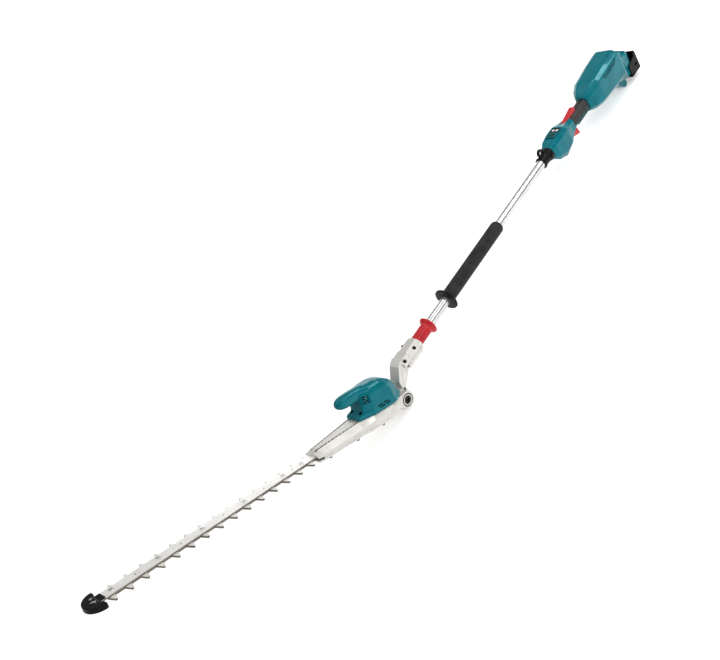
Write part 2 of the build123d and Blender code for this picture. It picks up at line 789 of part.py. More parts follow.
def rear_half(keep):
    """One half of the rear housing with its screw bosses."""
    with BuildPart() as half:
        with BuildSketch(pole_side()):
            with Locations(*REAR_SCREWS):
                Circle(5.0)
        extrude(amount=60.0, both=True)
        add(rear_outer.part, mode=Mode.INTERSECT)
        add(rear_shell.part)
        with BuildSketch(pole_side()):
            with Locations(*REAR_SCREWS):
                Circle(1.8)
        extrude(amount=18.0, both=True, mode=Mode.SUBTRACT)
        with BuildSketch(pole_side(-16.0)):
            with Locations(*REAR_SCREWS):
                Circle(3.8)
        extrude(amount=60.0, mode=Mode.SUBTRACT)
        split(bisect_by=Plane.XZ, keep=keep)
    return half


rear_left = rear_half(Keep.BOTTOM)
save(rear_left, "rear_housing_left")
rear_right = rear_half(Keep.TOP)
save(rear_right, "rear_housing_right")

with BuildPart() as rear_housing_screws:
    with BuildSketch(pole_side(-16.0)):
        with Locations(*REAR_SCREWS):
            Circle(3.6)
    extrude(amount=2.6)
    with BuildSketch(pole_side(-16.0)):
        with Locations(*REAR_SCREWS):
            Circle(1.7)
    extrude(amount=-26.0)
save(rear_housing_screws, "rear_housing_screws")

# Controller in its finned tray.
with BuildPart() as controller_module:
    with BuildSketch(pole_level(-14.0)):
        with Locations((-1186.0, 0)):
            RectangleRounded(84.0, 52.0, 4.0)
    extrude(amount=16.0)
    with BuildSketch(pole_level(2.0)):
        with GridLocations(0.0, 7.0, 1, 7):
            with Locations((-1186.0, 0)):
                Rectangle(76.0, 2.0)
    extrude(amount=9.0)
save(controller_module, "controller_module")

GUARD_FRONT = 1274.0
GUARD_BACK = 1333.0
GUARD_TOP = -13.0
GUARD_LOW = -67.5
GUARD_HALF = 39.5
GUARD_WALL = 3.2
with BuildPart() as battery_guard:
    with BuildSketch(pole_level(GUARD_LOW)):
        with Locations((-(GUARD_FRONT + GUARD_BACK) / 2, 0)):
            Rectangle(GUARD_BACK - GUARD_FRONT, 2 * GUARD_HALF)
    extrude(amount=GUARD_TOP - GUARD_LOW)
    chamfer(battery_guard.edges().filter_by(Axis.Z).sort_by(Axis.X)[:2], 7.0)
    with BuildSketch(pole_level(GUARD_LOW + GUARD_WALL)):
        with Locations((-(GUARD_FRONT + GUARD_BACK - GUARD_WALL) / 2 + 2.0, 0)):
            Rectangle(GUARD_BACK - GUARD_FRONT - GUARD_WALL + 4.0, 2 * (GUARD_HALF - GUARD_WALL))
    extrude(amount=80.0, mode=Mode.SUBTRACT)
    # sloping upper edge of the side walls
    with BuildSketch(pole_side()):
        with BuildLine():
            Polyline((-1270.0, -5.0), (-1318.0, -5.0), (-1312.0, -22.0), (-1270.0, -30.0), close=True)
        make_face()
    extrude(amount=60.0, both=True, mode=Mode.SUBTRACT)
    # the floor meets the housing's end
    with BuildSketch(pole_side()):
        with BuildLine():
            Polyline((-1270.0, -64.2), (-1270.0, -60.0), (-1287.3, -60.0), (-1287.3, -64.2), close=True)
        make_face()
    extrude(amount=60.0, both=True, mode=Mode.SUBTRACT)
    # drain and latch windows
    with BuildSketch(pole_side()):
        with Locations((-1310.0, -45.0)):
            SlotOverall(16.0, 6.0)
    extrude(amount=60.0, both=True, mode=Mode.SUBTRACT)
save(battery_guard, "battery_guard")

# Battery seat: plate with two undercut rails, which a pack slides down onto.
with BuildPart() as battery_rails:
    with BuildSketch(station(REAR_END + 4.0)):
        with Locations((0, -20.0)):
            RectangleRounded(66.0, 74.0, 3.0)
    extrude(amount=3.9)
    with BuildSketch(pole_level(-54.0)):
        for sign in (1, -1):
            with BuildLine():
                Polyline(
                    (-REAR_END - 4.0, sign * 24.0),
                    (-REAR_END - 4.0, sign * 30.5),
                    (-REAR_END - 13.0, sign * 30.5),
                    (-REAR_END - 13.0, sign * 20.0),
                    (-REAR_END - 9.5, sign * 20.0),
                    (-REAR_END - 9.5, sign * 24.0),
                    close=True,
                )
            make_face()
    extrude(amount=62.0)
    with BuildSketch(station(REAR_END + 12.0)):
        with Locations((0, -50.0)):
            Rectangle(36.0, 10.0)
    extrude(amount=8.1)
save(battery_rails, "battery_rails")

with BuildPart() as battery_terminals:
    for y_blade in (-14.0, -7.0, 0.0, 7.0, 14.0):
        with BuildSketch(pole_level(-45.0)):
            with Locations((-REAR_END - 8.0, y_blade)):
                Rectangle(7.0, 0.9)
        extrude(amount=24.0)
save(battery_terminals, "battery_terminals")

# ======================================================================== cutting head: case

# rows: t, top half width, top, side half width, upper edge of the side
CASE_STATIONS = [
    (32.0, 30.0, 20.0, 34.0, 12.0),
    (56.0, 35.0, 20.0, 42.0, 12.0),
    (118.0, 33.0, 20.0, 41.0, 9.0),
    (160.0, 20.0, 19.0, 36.5, 5.0),
    (225.0, 14.0, 16.5, 32.0, 3.5),
    (284.0, 10.0, 13.0, 28.5, 2.5),
    (297.0, 8.0, 9.0, 25.0, 1.5),
]


def case_section(top_half, n_top, side_half, n_up, n_low):
    """Roof-shaped section of the gear case."""
    with BuildLine() as outline:
        Polyline(
            (top_half, n_top), (side_half, n_up), (side_half, n_low),
            (-side_half, n_low), (-side_half, n_up), (-top_half, n_top),
            close=True,
        )
    make_face(outline.edges())


with BuildPart() as gear_case:
    for t, *sizes in CASE_STATIONS:
        with BuildSketch(head_station(t)):
            case_section(*sizes, CASE_SPLIT)
    loft(ruled=True)
    # ears that straddle the hub
    for sign in (1, -1):
        with BuildSketch(head_side(sign * EAR_IN)):
            Circle(EAR_R)
            with BuildLine():
                Polyline((0, EAR_R), (40.0, 19.0), (40.0, CASE_SPLIT), (0, -EAR_R), close=True)
            make_face()
        extrude(amount=-sign * (EAR_OUT - EAR_IN))
    with BuildSketch(head_level(20.0)):
        with Locations((31.0, 0)):
            Rectangle(60.0, 90.0)
    extrude(amount=6.0, mode=Mode.SUBTRACT)
    # hollow that the hub turns in
    with BuildSketch(head_side()):
        Circle(HUB_R + 1.5)
    extrude(amount=EAR_IN, both=True, mode=Mode.SUBTRACT)
    # gear chamber
    with BuildSketch(head_level(2.0)):
        with Locations((CRANK_T, 0)):
            Circle(29.5)
        with Locations((MOTOR_T, 0)):
            Circle(8.0)
    extrude(amount=10.0, mode=Mode.SUBTRACT)
    # yoke chamber, blade channel and seat of the guide bar
    with BuildSketch(head_level(CASE_SPLIT)):
        with Locations((CRANK_T, 0)):
            Rectangle(62.0, 58.0)
        with Locations((210.0, 0)):
            Rectangle(200.0, 2 * BLADE_HALF + 2.0)
    extrude(amount=2.01 - CASE_SPLIT, mode=Mode.SUBTRACT)
    with BuildSketch(head_level(CASE_SPLIT)):
        with Locations((250.0, 0)):
            Rectangle(110.0, 2 * BAR_HALF + 0.2)
    extrude(amount=BAR_TOP + 0.05 - CASE_SPLIT, mode=Mode.SUBTRACT)
    # open sides at the mouth, where the first teeth pass
    with BuildSketch(head_level(CASE_SPLIT)):
        with Locations((MOUTH_T + 20.0, 0)):
            Rectangle(40.0, 90.0)
    extrude(amount=BAR_BOTTOM + 0.1 - CASE_SPLIT, mode=Mode.SUBTRACT)
    # bearing seats in the roof: crank and motor
    with BuildSketch(head_level(12.0)):
        with Locations((CRANK_T, 0)):
            Circle(11.0)
    extrude(amount=5.0, mode=Mode.SUBTRACT)
    with BuildSketch(head_level(12.0)):
        with Locations((MOTOR_T, 0)):
            Circle(8.0)
    extrude(amount=20.0, mode=Mode.SUBTRACT)
    # pivot bore, cap recesses
    with BuildSketch(head_side()):
        Circle(PIVOT_R + FIT)
    extrude(amount=40.0, both=True, mode=Mode.SUBTRACT)
    for sign in (1, -1):
        with BuildSketch(head_side(sign * EAR_OUT)):
            Circle(17.0)
            Circle(14.5, mode=Mode.SUBTRACT)
        extrude(amount=sign * 2.5, mode=Mode.SUBTRACT)
        with BuildSketch(head_side(sign * EAR_OUT)):
            Circle(11.0)
        extrude(amount=sign * 6.0, mode=Mode.SUBTRACT)
    # dark rails beside the ridge
    for sign in (1, -1):
        with BuildSketch(head_level(30.0)):
            with BuildLine():
                Polyline(
                    (162.0, sign * 16.0), (278.0, sign * 7.0), (278.0, sign * 8.6),
                    (162.0, sign * 18.4),
                    close=True,
                )
            make_face()
        extrude(amount=-18.0, mode=Mode.SUBTRACT)
    # tapped holes
    with BuildSketch(head_level(CASE_SPLIT)):
        for t, y in CASE_BOLTS:
            with Locations((t, y), (t, -y)):
                Circle(1.9)
    extrude(amount=8.0, mode=Mode.SUBTRACT)
save(gear_case, "gear_case")

with BuildPart() as gear_case_cover:
    with BuildSketch(head_level(CASE_BOTTOM)):
        with BuildLine():
            Polyline(
                (60.0, 34.0), (68.0, 41.0), (118.0, 40.5), (136.0, 40.0), (160.0, 34.0),
                (188.0, 34.5), (225.0, 30.0), (262.0, 30.5), (284.0, 28.0), (297.0, 24.5),
                (297.0, -24.5), (284.0, -28.0), (262.0, -30.5), (225.0, -30.0), (188.0, -34.5),
                (160.0, -34.0), (136.0, -40.0), (118.0, -40.5), (68.0, -41.0), (60.0, -34.0),
                close=True,
            )
        make_face()
    extrude(amount=CASE_SPLIT - 0.02 - CASE_BOTTOM)
    chamfer(gear_case_cover.faces().sort_by(Axis.Z)[0].edges(), 1.5)
    # trough for the lower blade and its yoke
    with BuildSketch(head_level(CASE_SPLIT)):
        with Locations((CRANK_T, 0)):
            Rectangle(62.0, 58.0)
        with Locations((210.0, 0)):
            Rectangle(200.0, 2 * BLADE_HALF + 2.0)
        with Locations((MOUTH_T + 20.0, 0)):
            Rectangle(40.0, 90.0)
    extrude(amount=-2.0, mode=Mode.SUBTRACT)
    # seat of the crank's foot bearing
    with BuildSketch(head_level(CASE_SPLIT)):
        with Locations((CRANK_T, 0)):
            Circle(9.0)
    extrude(amount=-5.0, mode=Mode.SUBTRACT)
    with BuildSketch(head_level(CASE_BOTTOM)):
        for t, y in CASE_BOLTS:
            with Locations((t, y), (t, -y)):
                Circle(2.2)
    extrude(amount=10.0, mode=Mode.SUBTRACT)
save(gear_case_cover, "gear_case_cover")

with BuildPart() as case_bolts:
    for t, y in CASE_BOLTS:
        for sign in (1, -1):
            with BuildSketch(head_level(CASE_BOTTOM)):
                with Locations((t, sign * y)):
                    Circle(4.0)
            extrude(amount=-3.2)
            with BuildSketch(head_level(CASE_BOTTOM)):
                with Locations((t, sign * y)):
                    Circle(1.85)
            extrude(amount=12.0)
            with BuildSketch(head_level(CASE_BOTTOM - 3.2)):
                with Locations((t, sign * y)):
                    RegularPolygon(2.0, 6)
            extrude(amount=2.0, mode=Mode.SUBTRACT)
save(case_bolts, "case_bolts")

# ======================================================================== cutting head: pivot

with BuildPart() as pivot_bolt:
    with BuildSketch(head_side(-EAR_OUT + 6.0)):
        Circle(PIVOT_R)
    extrude(amount=-(2 * EAR_OUT - 12.0))
    with BuildSketch(head_side(EAR_OUT - 6.0)):
        Circle(10.8)
    extrude(amount=-5.0)
    with BuildSketch(head_side(EAR_OUT - 1.0)):
        RegularPolygon(7.0, 6)
    extrude(amount=4.0, mode=Mode.SUBTRACT)
save(pivot_bolt, "pivot_bolt")

with BuildPart() as pivot_nut:
    with BuildSketch(head_side(-EAR_OUT + 5.95)):
        Circle(10.5)
    extrude(amount=1.0)
    with BuildSketch(head_side(-EAR_OUT + 4.95)):
        RegularPolygon(9.5, 6)
    extrude(amount=4.0)
save(pivot_nut, "pivot_nut")

# Notched ring, keyed to the head, which the lock pin drops into.
first_notch = 180.0 - math.degrees(ARM_LEAN) - HEAD_ANGLE - INDEX_STEP * STOPS_ABOVE
with BuildPart() as index_ring:
    with BuildSketch(head_side()):
        Circle(INDEX_R)
        Circle(PIVOT_R + FIT, mode=Mode.SUBTRACT)
        with Locations((0, 0)):
            with PolarLocations(INDEX_R, INDEX_STOPS, first_notch, INDEX_STEP * INDEX_STOPS):
                Circle(2.2, mode=Mode.SUBTRACT)
    extrude(amount=INDEX_HALF, both=True)
save(index_ring, "index_ring")

# ======================================================================== cutting head: motor

# rows: n, then t and half width at the rear, the shoulder, the front shoulder and the front
COVER_LEVELS = [
    (20.1, 10.0, 24.0, 44.0, 40.0, 114.0, 38.5, 156.0, 23.0),
    (29.0, 10.5, 24.0, 44.0, 40.0, 113.5, 38.0, 155.0, 22.5),
    (33.0, 16.0, 22.0, 46.0, 38.0, 112.5, 36.5, 138.0, 22.0),
    (56.0, 21.0, 20.0, 48.0, 35.5, 111.0, 34.5, 136.5, 21.0),
    (74.0, 31.0, 18.0, 54.0, 31.0, 109.0, 31.0, 134.0, 20.0),
    (86.0, 50.0, 15.0, 66.0, 25.0, 106.0, 25.5, 130.0, 18.0),
    (94.0, 74.0, 9.0, 82.0, 16.0, 103.0, 16.5, 120.0, 12.0),
]
NOSE_N = 77.0
# rows: t and radius
NOSE_STATIONS = [(112.0, 16.0), (150.0, 17.5), (176.0, 17.0), (190.0, 12.5), (196.5, 6.0)]


def cover_level(t_rear, rear, t_mid, mid, t_fore, fore, t_front, front, inset):
    """Plan outline of the motor cover at one level."""
    right = [
        (t_rear + inset, rear - inset * 0.4), (t_mid, mid - inset), (t_fore, fore - inset),
        (t_front - inset, front - inset * 0.4),
    ]
    left = [(t, -y) for t, y in reversed(right)]
    with BuildLine() as outline:
        Polyline(*right, *left, close=True)
    make_face(outline.edges())


def cover_loft(inset=0.0, mode=Mode.ADD):
    """Ruled skin over the cover's levels and round nose."""
    levels = []
    for n, *sizes in COVER_LEVELS:
        base = n == COVER_LEVELS[0][0]
        with BuildSketch(head_level(n if base else n - inset)) as level:
            cover_level(*sizes, inset)
        levels.append(level.sketch.face())
    loft(levels, ruled=True, mode=mode)
    rings = []
    for t, radius in NOSE_STATIONS:
        end = t == NOSE_STATIONS[-1][0]
        with BuildSketch(head_station(t - inset if end else t)) as section:
            with Locations((0, NOSE_N)):
                Circle(radius - inset)
        rings.append(section.sketch.face())
    loft(rings, ruled=True, mode=mode)


with BuildPart() as motor_cover:
    cover_loft()
    cover_loft(inset=WALL, mode=Mode.SUBTRACT)
    with BuildSketch(head_level(20.1)):
        with Locations((141.0, 15.0), (141.0, -15.0)):
            Circle(7.0)
    extrude(amount=11.0)
    with BuildSketch(head_side()):
        Circle(HUB_R + 1.6)
    extrude(amount=EAR_IN + 0.5, both=True, mode=Mode.SUBTRACT)
    # tabs on the ears
    for sign in (1, -1):
        with BuildSketch(head_level(21.3)):
            with Locations((3.0, sign * 24.0)):
                RectangleRounded(24.0, 9.0, 3.0)
        extrude(amount=6.0)
        with BuildSketch(head_level(20.0)):
            with Locations((-4.0, sign * 24.0)):
                Circle(1.7)
        extrude(amount=10.0, mode=Mode.SUBTRACT)
        # front screw ledges
        with BuildSketch(head_level(26.0)):
            with Locations((141.0, sign * 15.0)):
                Circle(4.5)
        extrude(amount=12.0, mode=Mode.SUBTRACT)
        with BuildSketch(head_level(20.0)):
            with Locations((141.0, sign * 15.0)):
                Circle(1.7)
        extrude(amount=7.0, mode=Mode.SUBTRACT)
        # slanted front vents
        with BuildSketch(head_side(sign * 40.0)):
            for row in range(4):
                with Locations((124.0, 55.5 + row * 4.5)):
                    SlotOverall(19.0, 2.2, rotation=-3)
        extrude(amount=sign * 22.0, mode=Mode.SUBTRACT)
        # rear vents in two rows
        with BuildSketch(head_side(sign * 42.0)):
            for column in range(2):
                for row in range(2):
                    with Locations((74.0 + column * 17.0, 35.0 + row * 6.0)):
                        SlotOverall(15.0, 3.0, rotation=3)
        extrude(amount=sign * 10.0, mode=Mode.SUBTRACT)
save(motor_cover, "motor_cover")

with BuildPart() as cover_screws:
    for t, y, seat in ((141.0, 15.0, 26.0), (141.0, -15.0, 26.0), (-4.0, 24.0, 27.3), (-4.0, -24.0, 27.3)):
        with BuildSketch(head_level(seat)):
            with Locations((t, y)):
                Circle(3.0)
        extrude(amount=2.2)
        with BuildSketch(head_level(seat)):
            with Locations((t, y)):
                Circle(1.6)
        extrude(amount=-5.5)
        with BuildSketch(head_level(seat + 2.2)):
            with Locations((t, y)):
                RegularPolygon(1.6, 6)
        extrude(amount=-1.3, mode=Mode.SUBTRACT)
save(cover_screws, "cover_screws")

STATOR_LOW = 41.0
STATOR_HIGH = 60.0
STATOR_R = 24.4
with BuildPart() as motor_stator:
    with BuildSketch(head_level(STATOR_LOW)):
        with Locations((MOTOR_T, 0)):
            Circle(STATOR_R)
            Circle(16.4, mode=Mode.SUBTRACT)
            with PolarLocations(19.8, 6, 30.0):
                Rectangle(6.4, 7.6, mode=Mode.SUBTRACT)
    extrude(amount=STATOR_HIGH - STATOR_LOW)
save(motor_stator, "motor_stator")

with BuildPart() as motor_windings:
    with BuildSketch(head_level(STATOR_LOW - 3.0)):
        with Locations((MOTOR_T, 0)):
            with PolarLocations(19.8, 6, 30.0):
                Rectangle(6.2, 7.4)
    extrude(amount=STATOR_HIGH - STATOR_LOW + 6.0)
save(motor_windings, "motor_windings")

with BuildPart() as motor_rotor:
    with BuildSketch(head_level(STATOR_LOW)):
        with Locations((MOTOR_T, 0)):
            Circle(15.8)
    extrude(amount=STATOR_HIGH - STATOR_LOW)
    with BuildSketch(head_level(10.0)):
        with Locations((MOTOR_T, 0)):
            Circle(3.0)
    extrude(amount=58.0)
    with BuildSketch(head_level(2.6)):
        with BuildLine():
            Polyline(*involute_gear(MOTOR_T, PINION_TEETH, 0.9, 1.1, 0.16, 0.0), close=True)
        make_face()
    extrude(amount=8.0)
save(motor_rotor, "motor_rotor")

FAN_LOW = 29.0
BRIDGE_N = 64.0
with BuildPart() as motor_fan:
    with BuildSketch(head_level(FAN_LOW)):
        with Locations((MOTOR_T, 0)):
            Circle(22.0)
            Circle(3.0 + FIT, mode=Mode.SUBTRACT)
    extrude(amount=1.6)
    with BuildSketch(head_level(FAN_LOW + 1.6)):
        with Locations((MOTOR_T, 0)):
            Circle(6.0)
            Circle(3.0 + FIT, mode=Mode.SUBTRACT)
            with PolarLocations(14.5, 9):
                Rectangle(13.0, 1.4)
    extrude(amount=6.0)
save(motor_fan, "motor_fan")

with BuildPart() as motor_bearings:
    with BuildSketch(head_level(15.0)):
        with Locations((MOTOR_T, 0)):
            Circle(8.0)
            Circle(3.0 + FIT, mode=Mode.SUBTRACT)
    extrude(amount=5.0)
    with BuildSketch(head_level(BRIDGE_N - 0.5)):
        with Locations((MOTOR_T, 0)):
            Circle(8.0)
            Circle(3.0 + FIT, mode=Mode.SUBTRACT)
    extrude(amount=4.0)
save(motor_bearings, "motor_bearings")

# Four-legged bridge over the motor that carries the upper bearing.
LEG_R = 2.8
with BuildPart() as motor_bridge:
    with BuildSketch(head_level(20.1)):
        with Locations((MOTOR_T, 0)):
            with PolarLocations(STATOR_R + LEG_R, 4, 45.0):
                Circle(LEG_R)
    extrude(amount=BRIDGE_N + 3.0 - 20.1)
    with BuildSketch(head_level(BRIDGE_N)):
        with Locations((MOTOR_T, 0)):
            Rectangle(2 * (STATOR_R + LEG_R), 2 * LEG_R, rotation=45.0)
            Rectangle(2 * (STATOR_R + LEG_R), 2 * LEG_R, rotation=-45.0)
            Circle(11.0)
            Circle(8.0, mode=Mode.SUBTRACT)
    extrude(amount=3.0)
save(motor_bridge, "motor_bridge")

# ======================================================================== cutting head: drive

with BuildPart() as crank_gear:
    with BuildSketch(head_level(3.0)):
        turn = math.pi + math.pi / GEAR_TEETH
        with BuildLine():
            Polyline(*involute_gear(CRANK_T, GEAR_TEETH, 0.6, 1.25, 0.16, turn), close=True)
        make_face()
        with Locations((CRANK_T, 0)):
            with PolarLocations(16.5, 6):
                Circle(5.0, mode=Mode.SUBTRACT)
    extrude(amount=7.0)
    with BuildSketch(head_level(-10.6)):
        with Locations((CRANK_T, 0)):
            Circle(CRANK_R)
    extrude(amount=27.0)
    with BuildSketch(head_level(UPPER_BLADE_N)):
        with Locations((CRANK_T, THROW)):
            Circle(ECC_R)
    extrude(amount=BLADE_THICK)
    with BuildSketch(head_level(LOWER_BLADE_N)):
        with Locations((CRANK_T, -THROW)):
            Circle(ECC_R)
    extrude(amount=BLADE_THICK)
save(crank_gear, "crank_gear")

with BuildPart() as crank_bearings:
    with BuildSketch(head_level(12.0)):
        with Locations((CRANK_T, 0)):
            Circle(11.0)
            Circle(CRANK_R + FIT, mode=Mode.SUBTRACT)
    extrude(amount=4.9)
    with BuildSketch(head_level(-10.9)):
        with Locations((CRANK_T, 0)):
            Circle(9.0)
            Circle(CRANK_R + FIT, mode=Mode.SUBTRACT)
    extrude(amount=3.0)
save(crank_bearings, "crank_bearings")


def blade(low, name):
    """One reciprocating blade: slotted strip with its yoke, and teeth that meet it on both sides."""
    with BuildPart() as strip:
        with BuildSketch(head_level(low)):
            with Locations((CRANK_T, 0)):
                Rectangle(2 * (ECC_R + YOKE_SLACK + 5.0), 2 * (ECC_R + THROW + 5.0))
            with Locations(((CRANK_T + BLADE_END) / 2, 0)):
                Rectangle(BLADE_END - CRANK_T, 2 * BLADE_HALF)
            with Locations((CRANK_T, 0)):
                Rectangle(2 * (ECC_R + YOKE_SLACK), 2 * (ECC_R + THROW + 0.5), mode=Mode.SUBTRACT)
            with Locations(*[(t, 0) for t in BOLT_TS]):
                SlotOverall(2 * (THROW + BOLT_R + 0.6), 2 * BOLT_R + 0.8, mode=Mode.SUBTRACT)
        extrude(amount=BLADE_THICK)
    with BuildPart() as teeth:
        with BuildSketch(head_level(low)):
            for k in range(TOOTH_COUNT):
                for sign, start in ((1, NEAR_TOOTH), (-1, FAR_TOOTH)):
                    t = start + k * PITCH
                    with BuildLine():
                        Polyline(
                            (t - TOOTH_ROOT, sign * BLADE_HALF),
                            (t - 2.6, sign * (TOOTH_TIP - 1.5)),
                            (t - 1.2, sign * TOOTH_TIP),
                            (t + 1.2, sign * TOOTH_TIP),
                            (t + 2.6, sign * (TOOTH_TIP - 1.5)),
                            (t + TOOTH_ROOT, sign * BLADE_HALF),
                            close=True,
                        )
                    make_face()
        extrude(amount=BLADE_THICK)
    whole = Compound(strip.part.solids() + teeth.part.solids())
    whole.label = name
    export_step(whole, f"parts/{name}.step")


blade(UPPER_BLADE_N, "upper_blade")
blade(LOWER_BLADE_N, "lower_blade")

with BuildPart() as guide_bar:
    with BuildSketch(head_level(BAR_BOTTOM)):
        with BuildLine():
            Polyline(
                (BAR_START, BAR_HALF), (BAR_END - 8.0, BAR_HALF), (BAR_END, BAR_HALF - 6.0),
                (BAR_END, -BAR_HALF + 6.0), (BAR_END - 8.0, -BAR_HALF), (BAR_START, -BAR_HALF),
                close=True,
            )
        make_face()
        with Locations(*[(t, 0) for t in BOLT_TS]):
            Circle(BOLT_R + FIT, mode=Mode.SUBTRACT)
        with Locations(*[(t, 0) for t in BAR_HOLE_TS]):
            Circle(1.8, mode=Mode.SUBTRACT)
        with Locations((214.0, 8.0), (214.0, -8.0), (278.0, 8.0), (278.0, -8.0)):
            Circle(2.0, mode=Mode.SUBTRACT)
        with Locations((877.0, 8.5), (877.0, -8.5)):
            Circle(1.8, mode=Mode.SUBTRACT)
    extrude(amount=BAR_TOP - BAR_BOTTOM)
    chamfer(guide_bar.faces().sort_by(Axis.Z)[-1].edges().filter_by(GeomType.LINE), 0.6)
save(guide_bar, "guide_bar")

NUT_TOP = LOWER_BLADE_N - 0.3
with BuildPart() as blade_bolts:
    for t in BOLT_TS:
        with BuildSketch(head_level(BAR_TOP)):
            with Locations((t, 0)):
                Circle(5.2)
        extrude(amount=3.0)
        with BuildSketch(head_level(BAR_TOP)):
            with Locations((t, 0)):
                Circle(BOLT_R)
        extrude(amount=-(BAR_TOP - NUT_TOP + 5.0))
        with BuildSketch(head_level(BAR_TOP + 3.0)):
            with Locations((t, 0)):
                RegularPolygon(2.6, 6)
        extrude(amount=-1.8, mode=Mode.SUBTRACT)
save(blade_bolts, "blade_bolts")

with BuildPart() as blade_nuts:
    for t in BOLT_TS:
        with BuildSketch(head_level(NUT_TOP)):
            with Locations((t, 0)):
                Circle(7.0)
                Circle(BOLT_R + FIT, mode=Mode.SUBTRACT)
        extrude(amount=-1.2)
        with BuildSketch(head_level(NUT_TOP - 1.2)):
            with Locations((t, 0)):
                RegularPolygon(5.6, 6)
                Circle(BOLT_R + FIT, mode=Mode.SUBTRACT)
        extrude(amount=-3.4)
save(blade_nuts, "blade_nuts")

# Felt that wipes the blades where they leave the case.
with BuildPart() as felt_wiper:
    with BuildSketch(head_station(290.0)):
        with Locations((0, -7.6)):
            Rectangle(2 * BLADE_HALF + 1.9, 0.6)
    extrude(amount=6.0)
save(felt_wiper, "felt_wiper")

GUARD_T = 900.0
GUARD_TOP = 4.0
GUARD_BOTTOM = -8.6
with BuildPart() as tip_guard:
    with BuildSketch(head_level(GUARD_BOTTOM)):
        with BuildLine():
            nose = ThreePointArc((868.0, 34.0), (GUARD_T, 0), (868.0, -34.0))
            Polyline(
                nose @ 1, (862.5, -33.0), (863.5, -22.0), (869.0, -16.0), (869.0, 16.0),
                (863.5, 22.0), (862.5, 33.0), nose @ 0,
            )
        make_face()
    extrude(amount=GUARD_TOP - GUARD_BOTTOM)
    away_from_bar = Axis((0, 0, 0), head_level(0.0).z_dir)
    fillet(tip_guard.faces().sort_by(away_from_bar)[-1].edges(), 1.8)
    # neck over the end of the bar
    with BuildSketch(head_level(BAR_TOP)):
        with Locations((864.0, 0)):
            RectangleRounded(18.0, 27.0, 2.0)
    extrude(amount=1.9)
    # slot that takes the bar, and window that shows its end
    with BuildSketch(head_level(BAR_BOTTOM)):
        with Locations((860.0, 0)):
            Rectangle(2 * (BAR_END - 860.0), 2 * BAR_HALF + 0.1)
    extrude(amount=BAR_TOP - BAR_BOTTOM, mode=Mode.SUBTRACT)
    with BuildSketch(head_level(GUARD_BOTTOM - 1.0)):
        with Locations((860.0, 0)):
            Rectangle(24.0, 2 * BLADE_HALF + 2.0)
    extrude(amount=BAR_BOTTOM - GUARD_BOTTOM + 1.0, mode=Mode.SUBTRACT)
    with BuildSketch(head_level(0.0)):
        with Locations((879.0, 0)):
            SlotOverall(11.0, 6.0)
    extrude(amount=12.0, mode=Mode.SUBTRACT)
    with BuildSketch(head_level(-14.0)):
        with Locations((877.0, 8.5), (877.0, -8.5)):
            Circle(1.8)
    extrude(amount=24.0, mode=Mode.SUBTRACT)
save(tip_guard, "tip_guard")

with BuildPart() as tip_guard_screws:
    for y in (8.5, -8.5):
        with BuildSketch(head_level(GUARD_TOP)):
            with Locations((877.0, y)):
                Circle(3.2)
        extrude(amount=1.8)
        with BuildSketch(head_level(GUARD_TOP)):
            with Locations((877.0, y)):
                Circle(1.7)
        extrude(amount=-11.0)
save(tip_guard_screws, "tip_guard_screws")
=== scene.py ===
"""Looks of the pole hedge trimmer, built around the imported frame. Lengths in the tables are millimetres."""

import json
import math

import bmesh
import bpy
from mathutils import Matrix, Vector


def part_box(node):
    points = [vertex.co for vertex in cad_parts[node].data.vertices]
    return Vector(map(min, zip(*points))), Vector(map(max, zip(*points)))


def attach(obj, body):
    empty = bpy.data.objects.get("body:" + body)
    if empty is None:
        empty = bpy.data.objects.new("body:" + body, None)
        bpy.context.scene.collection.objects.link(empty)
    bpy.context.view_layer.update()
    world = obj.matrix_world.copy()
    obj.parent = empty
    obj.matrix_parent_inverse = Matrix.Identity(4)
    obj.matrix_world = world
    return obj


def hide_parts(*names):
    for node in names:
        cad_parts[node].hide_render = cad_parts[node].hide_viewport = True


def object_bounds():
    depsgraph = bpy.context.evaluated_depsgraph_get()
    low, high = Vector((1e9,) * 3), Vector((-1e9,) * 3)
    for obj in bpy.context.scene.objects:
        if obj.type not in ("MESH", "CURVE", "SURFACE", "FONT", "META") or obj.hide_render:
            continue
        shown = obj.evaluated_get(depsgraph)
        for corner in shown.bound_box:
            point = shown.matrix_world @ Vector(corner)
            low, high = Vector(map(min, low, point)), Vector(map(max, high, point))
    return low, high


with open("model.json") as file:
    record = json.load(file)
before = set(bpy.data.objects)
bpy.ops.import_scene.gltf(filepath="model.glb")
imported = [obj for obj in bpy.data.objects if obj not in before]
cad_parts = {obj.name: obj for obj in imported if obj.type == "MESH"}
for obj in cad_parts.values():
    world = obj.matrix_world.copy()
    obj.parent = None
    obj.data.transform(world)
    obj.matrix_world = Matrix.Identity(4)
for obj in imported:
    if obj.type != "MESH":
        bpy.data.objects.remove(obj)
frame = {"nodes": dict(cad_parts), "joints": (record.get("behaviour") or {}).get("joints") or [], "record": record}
cad_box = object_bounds()
nodes = frame["nodes"]
joints = {joint["name"]: joint for joint in frame["joints"]}
MM = 0.001

# ---------------------------------------------------------------- places
PIVOT = Vector(joints["head_tilt"]["pos_m"]) / MM
AHEAD = Vector(joints["upper_stroke"]["axis"]).normalized()
ABOVE = Vector((-AHEAD.z, 0, AHEAD.x))
tube_low, tube_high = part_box("pole_tube")
POLE_Z = (tube_low.z + tube_high.z) / 2 / MM
TUBE_R = (tube_high.z - tube_low.z) / 2 / MM


def pole(s, y, z):
    """Point s behind the pivot along the pole, y to the left, z above the pole's middle."""
    return Vector((PIVOT.x - s, y, POLE_Z + z)) * MM


def head(t, y, n):
    """Point t ahead of the pivot along the blade, y to the left, n above the pivot's level."""
    return (PIVOT + AHEAD * t + ABOVE * n + Vector((0, y, 0))) * MM


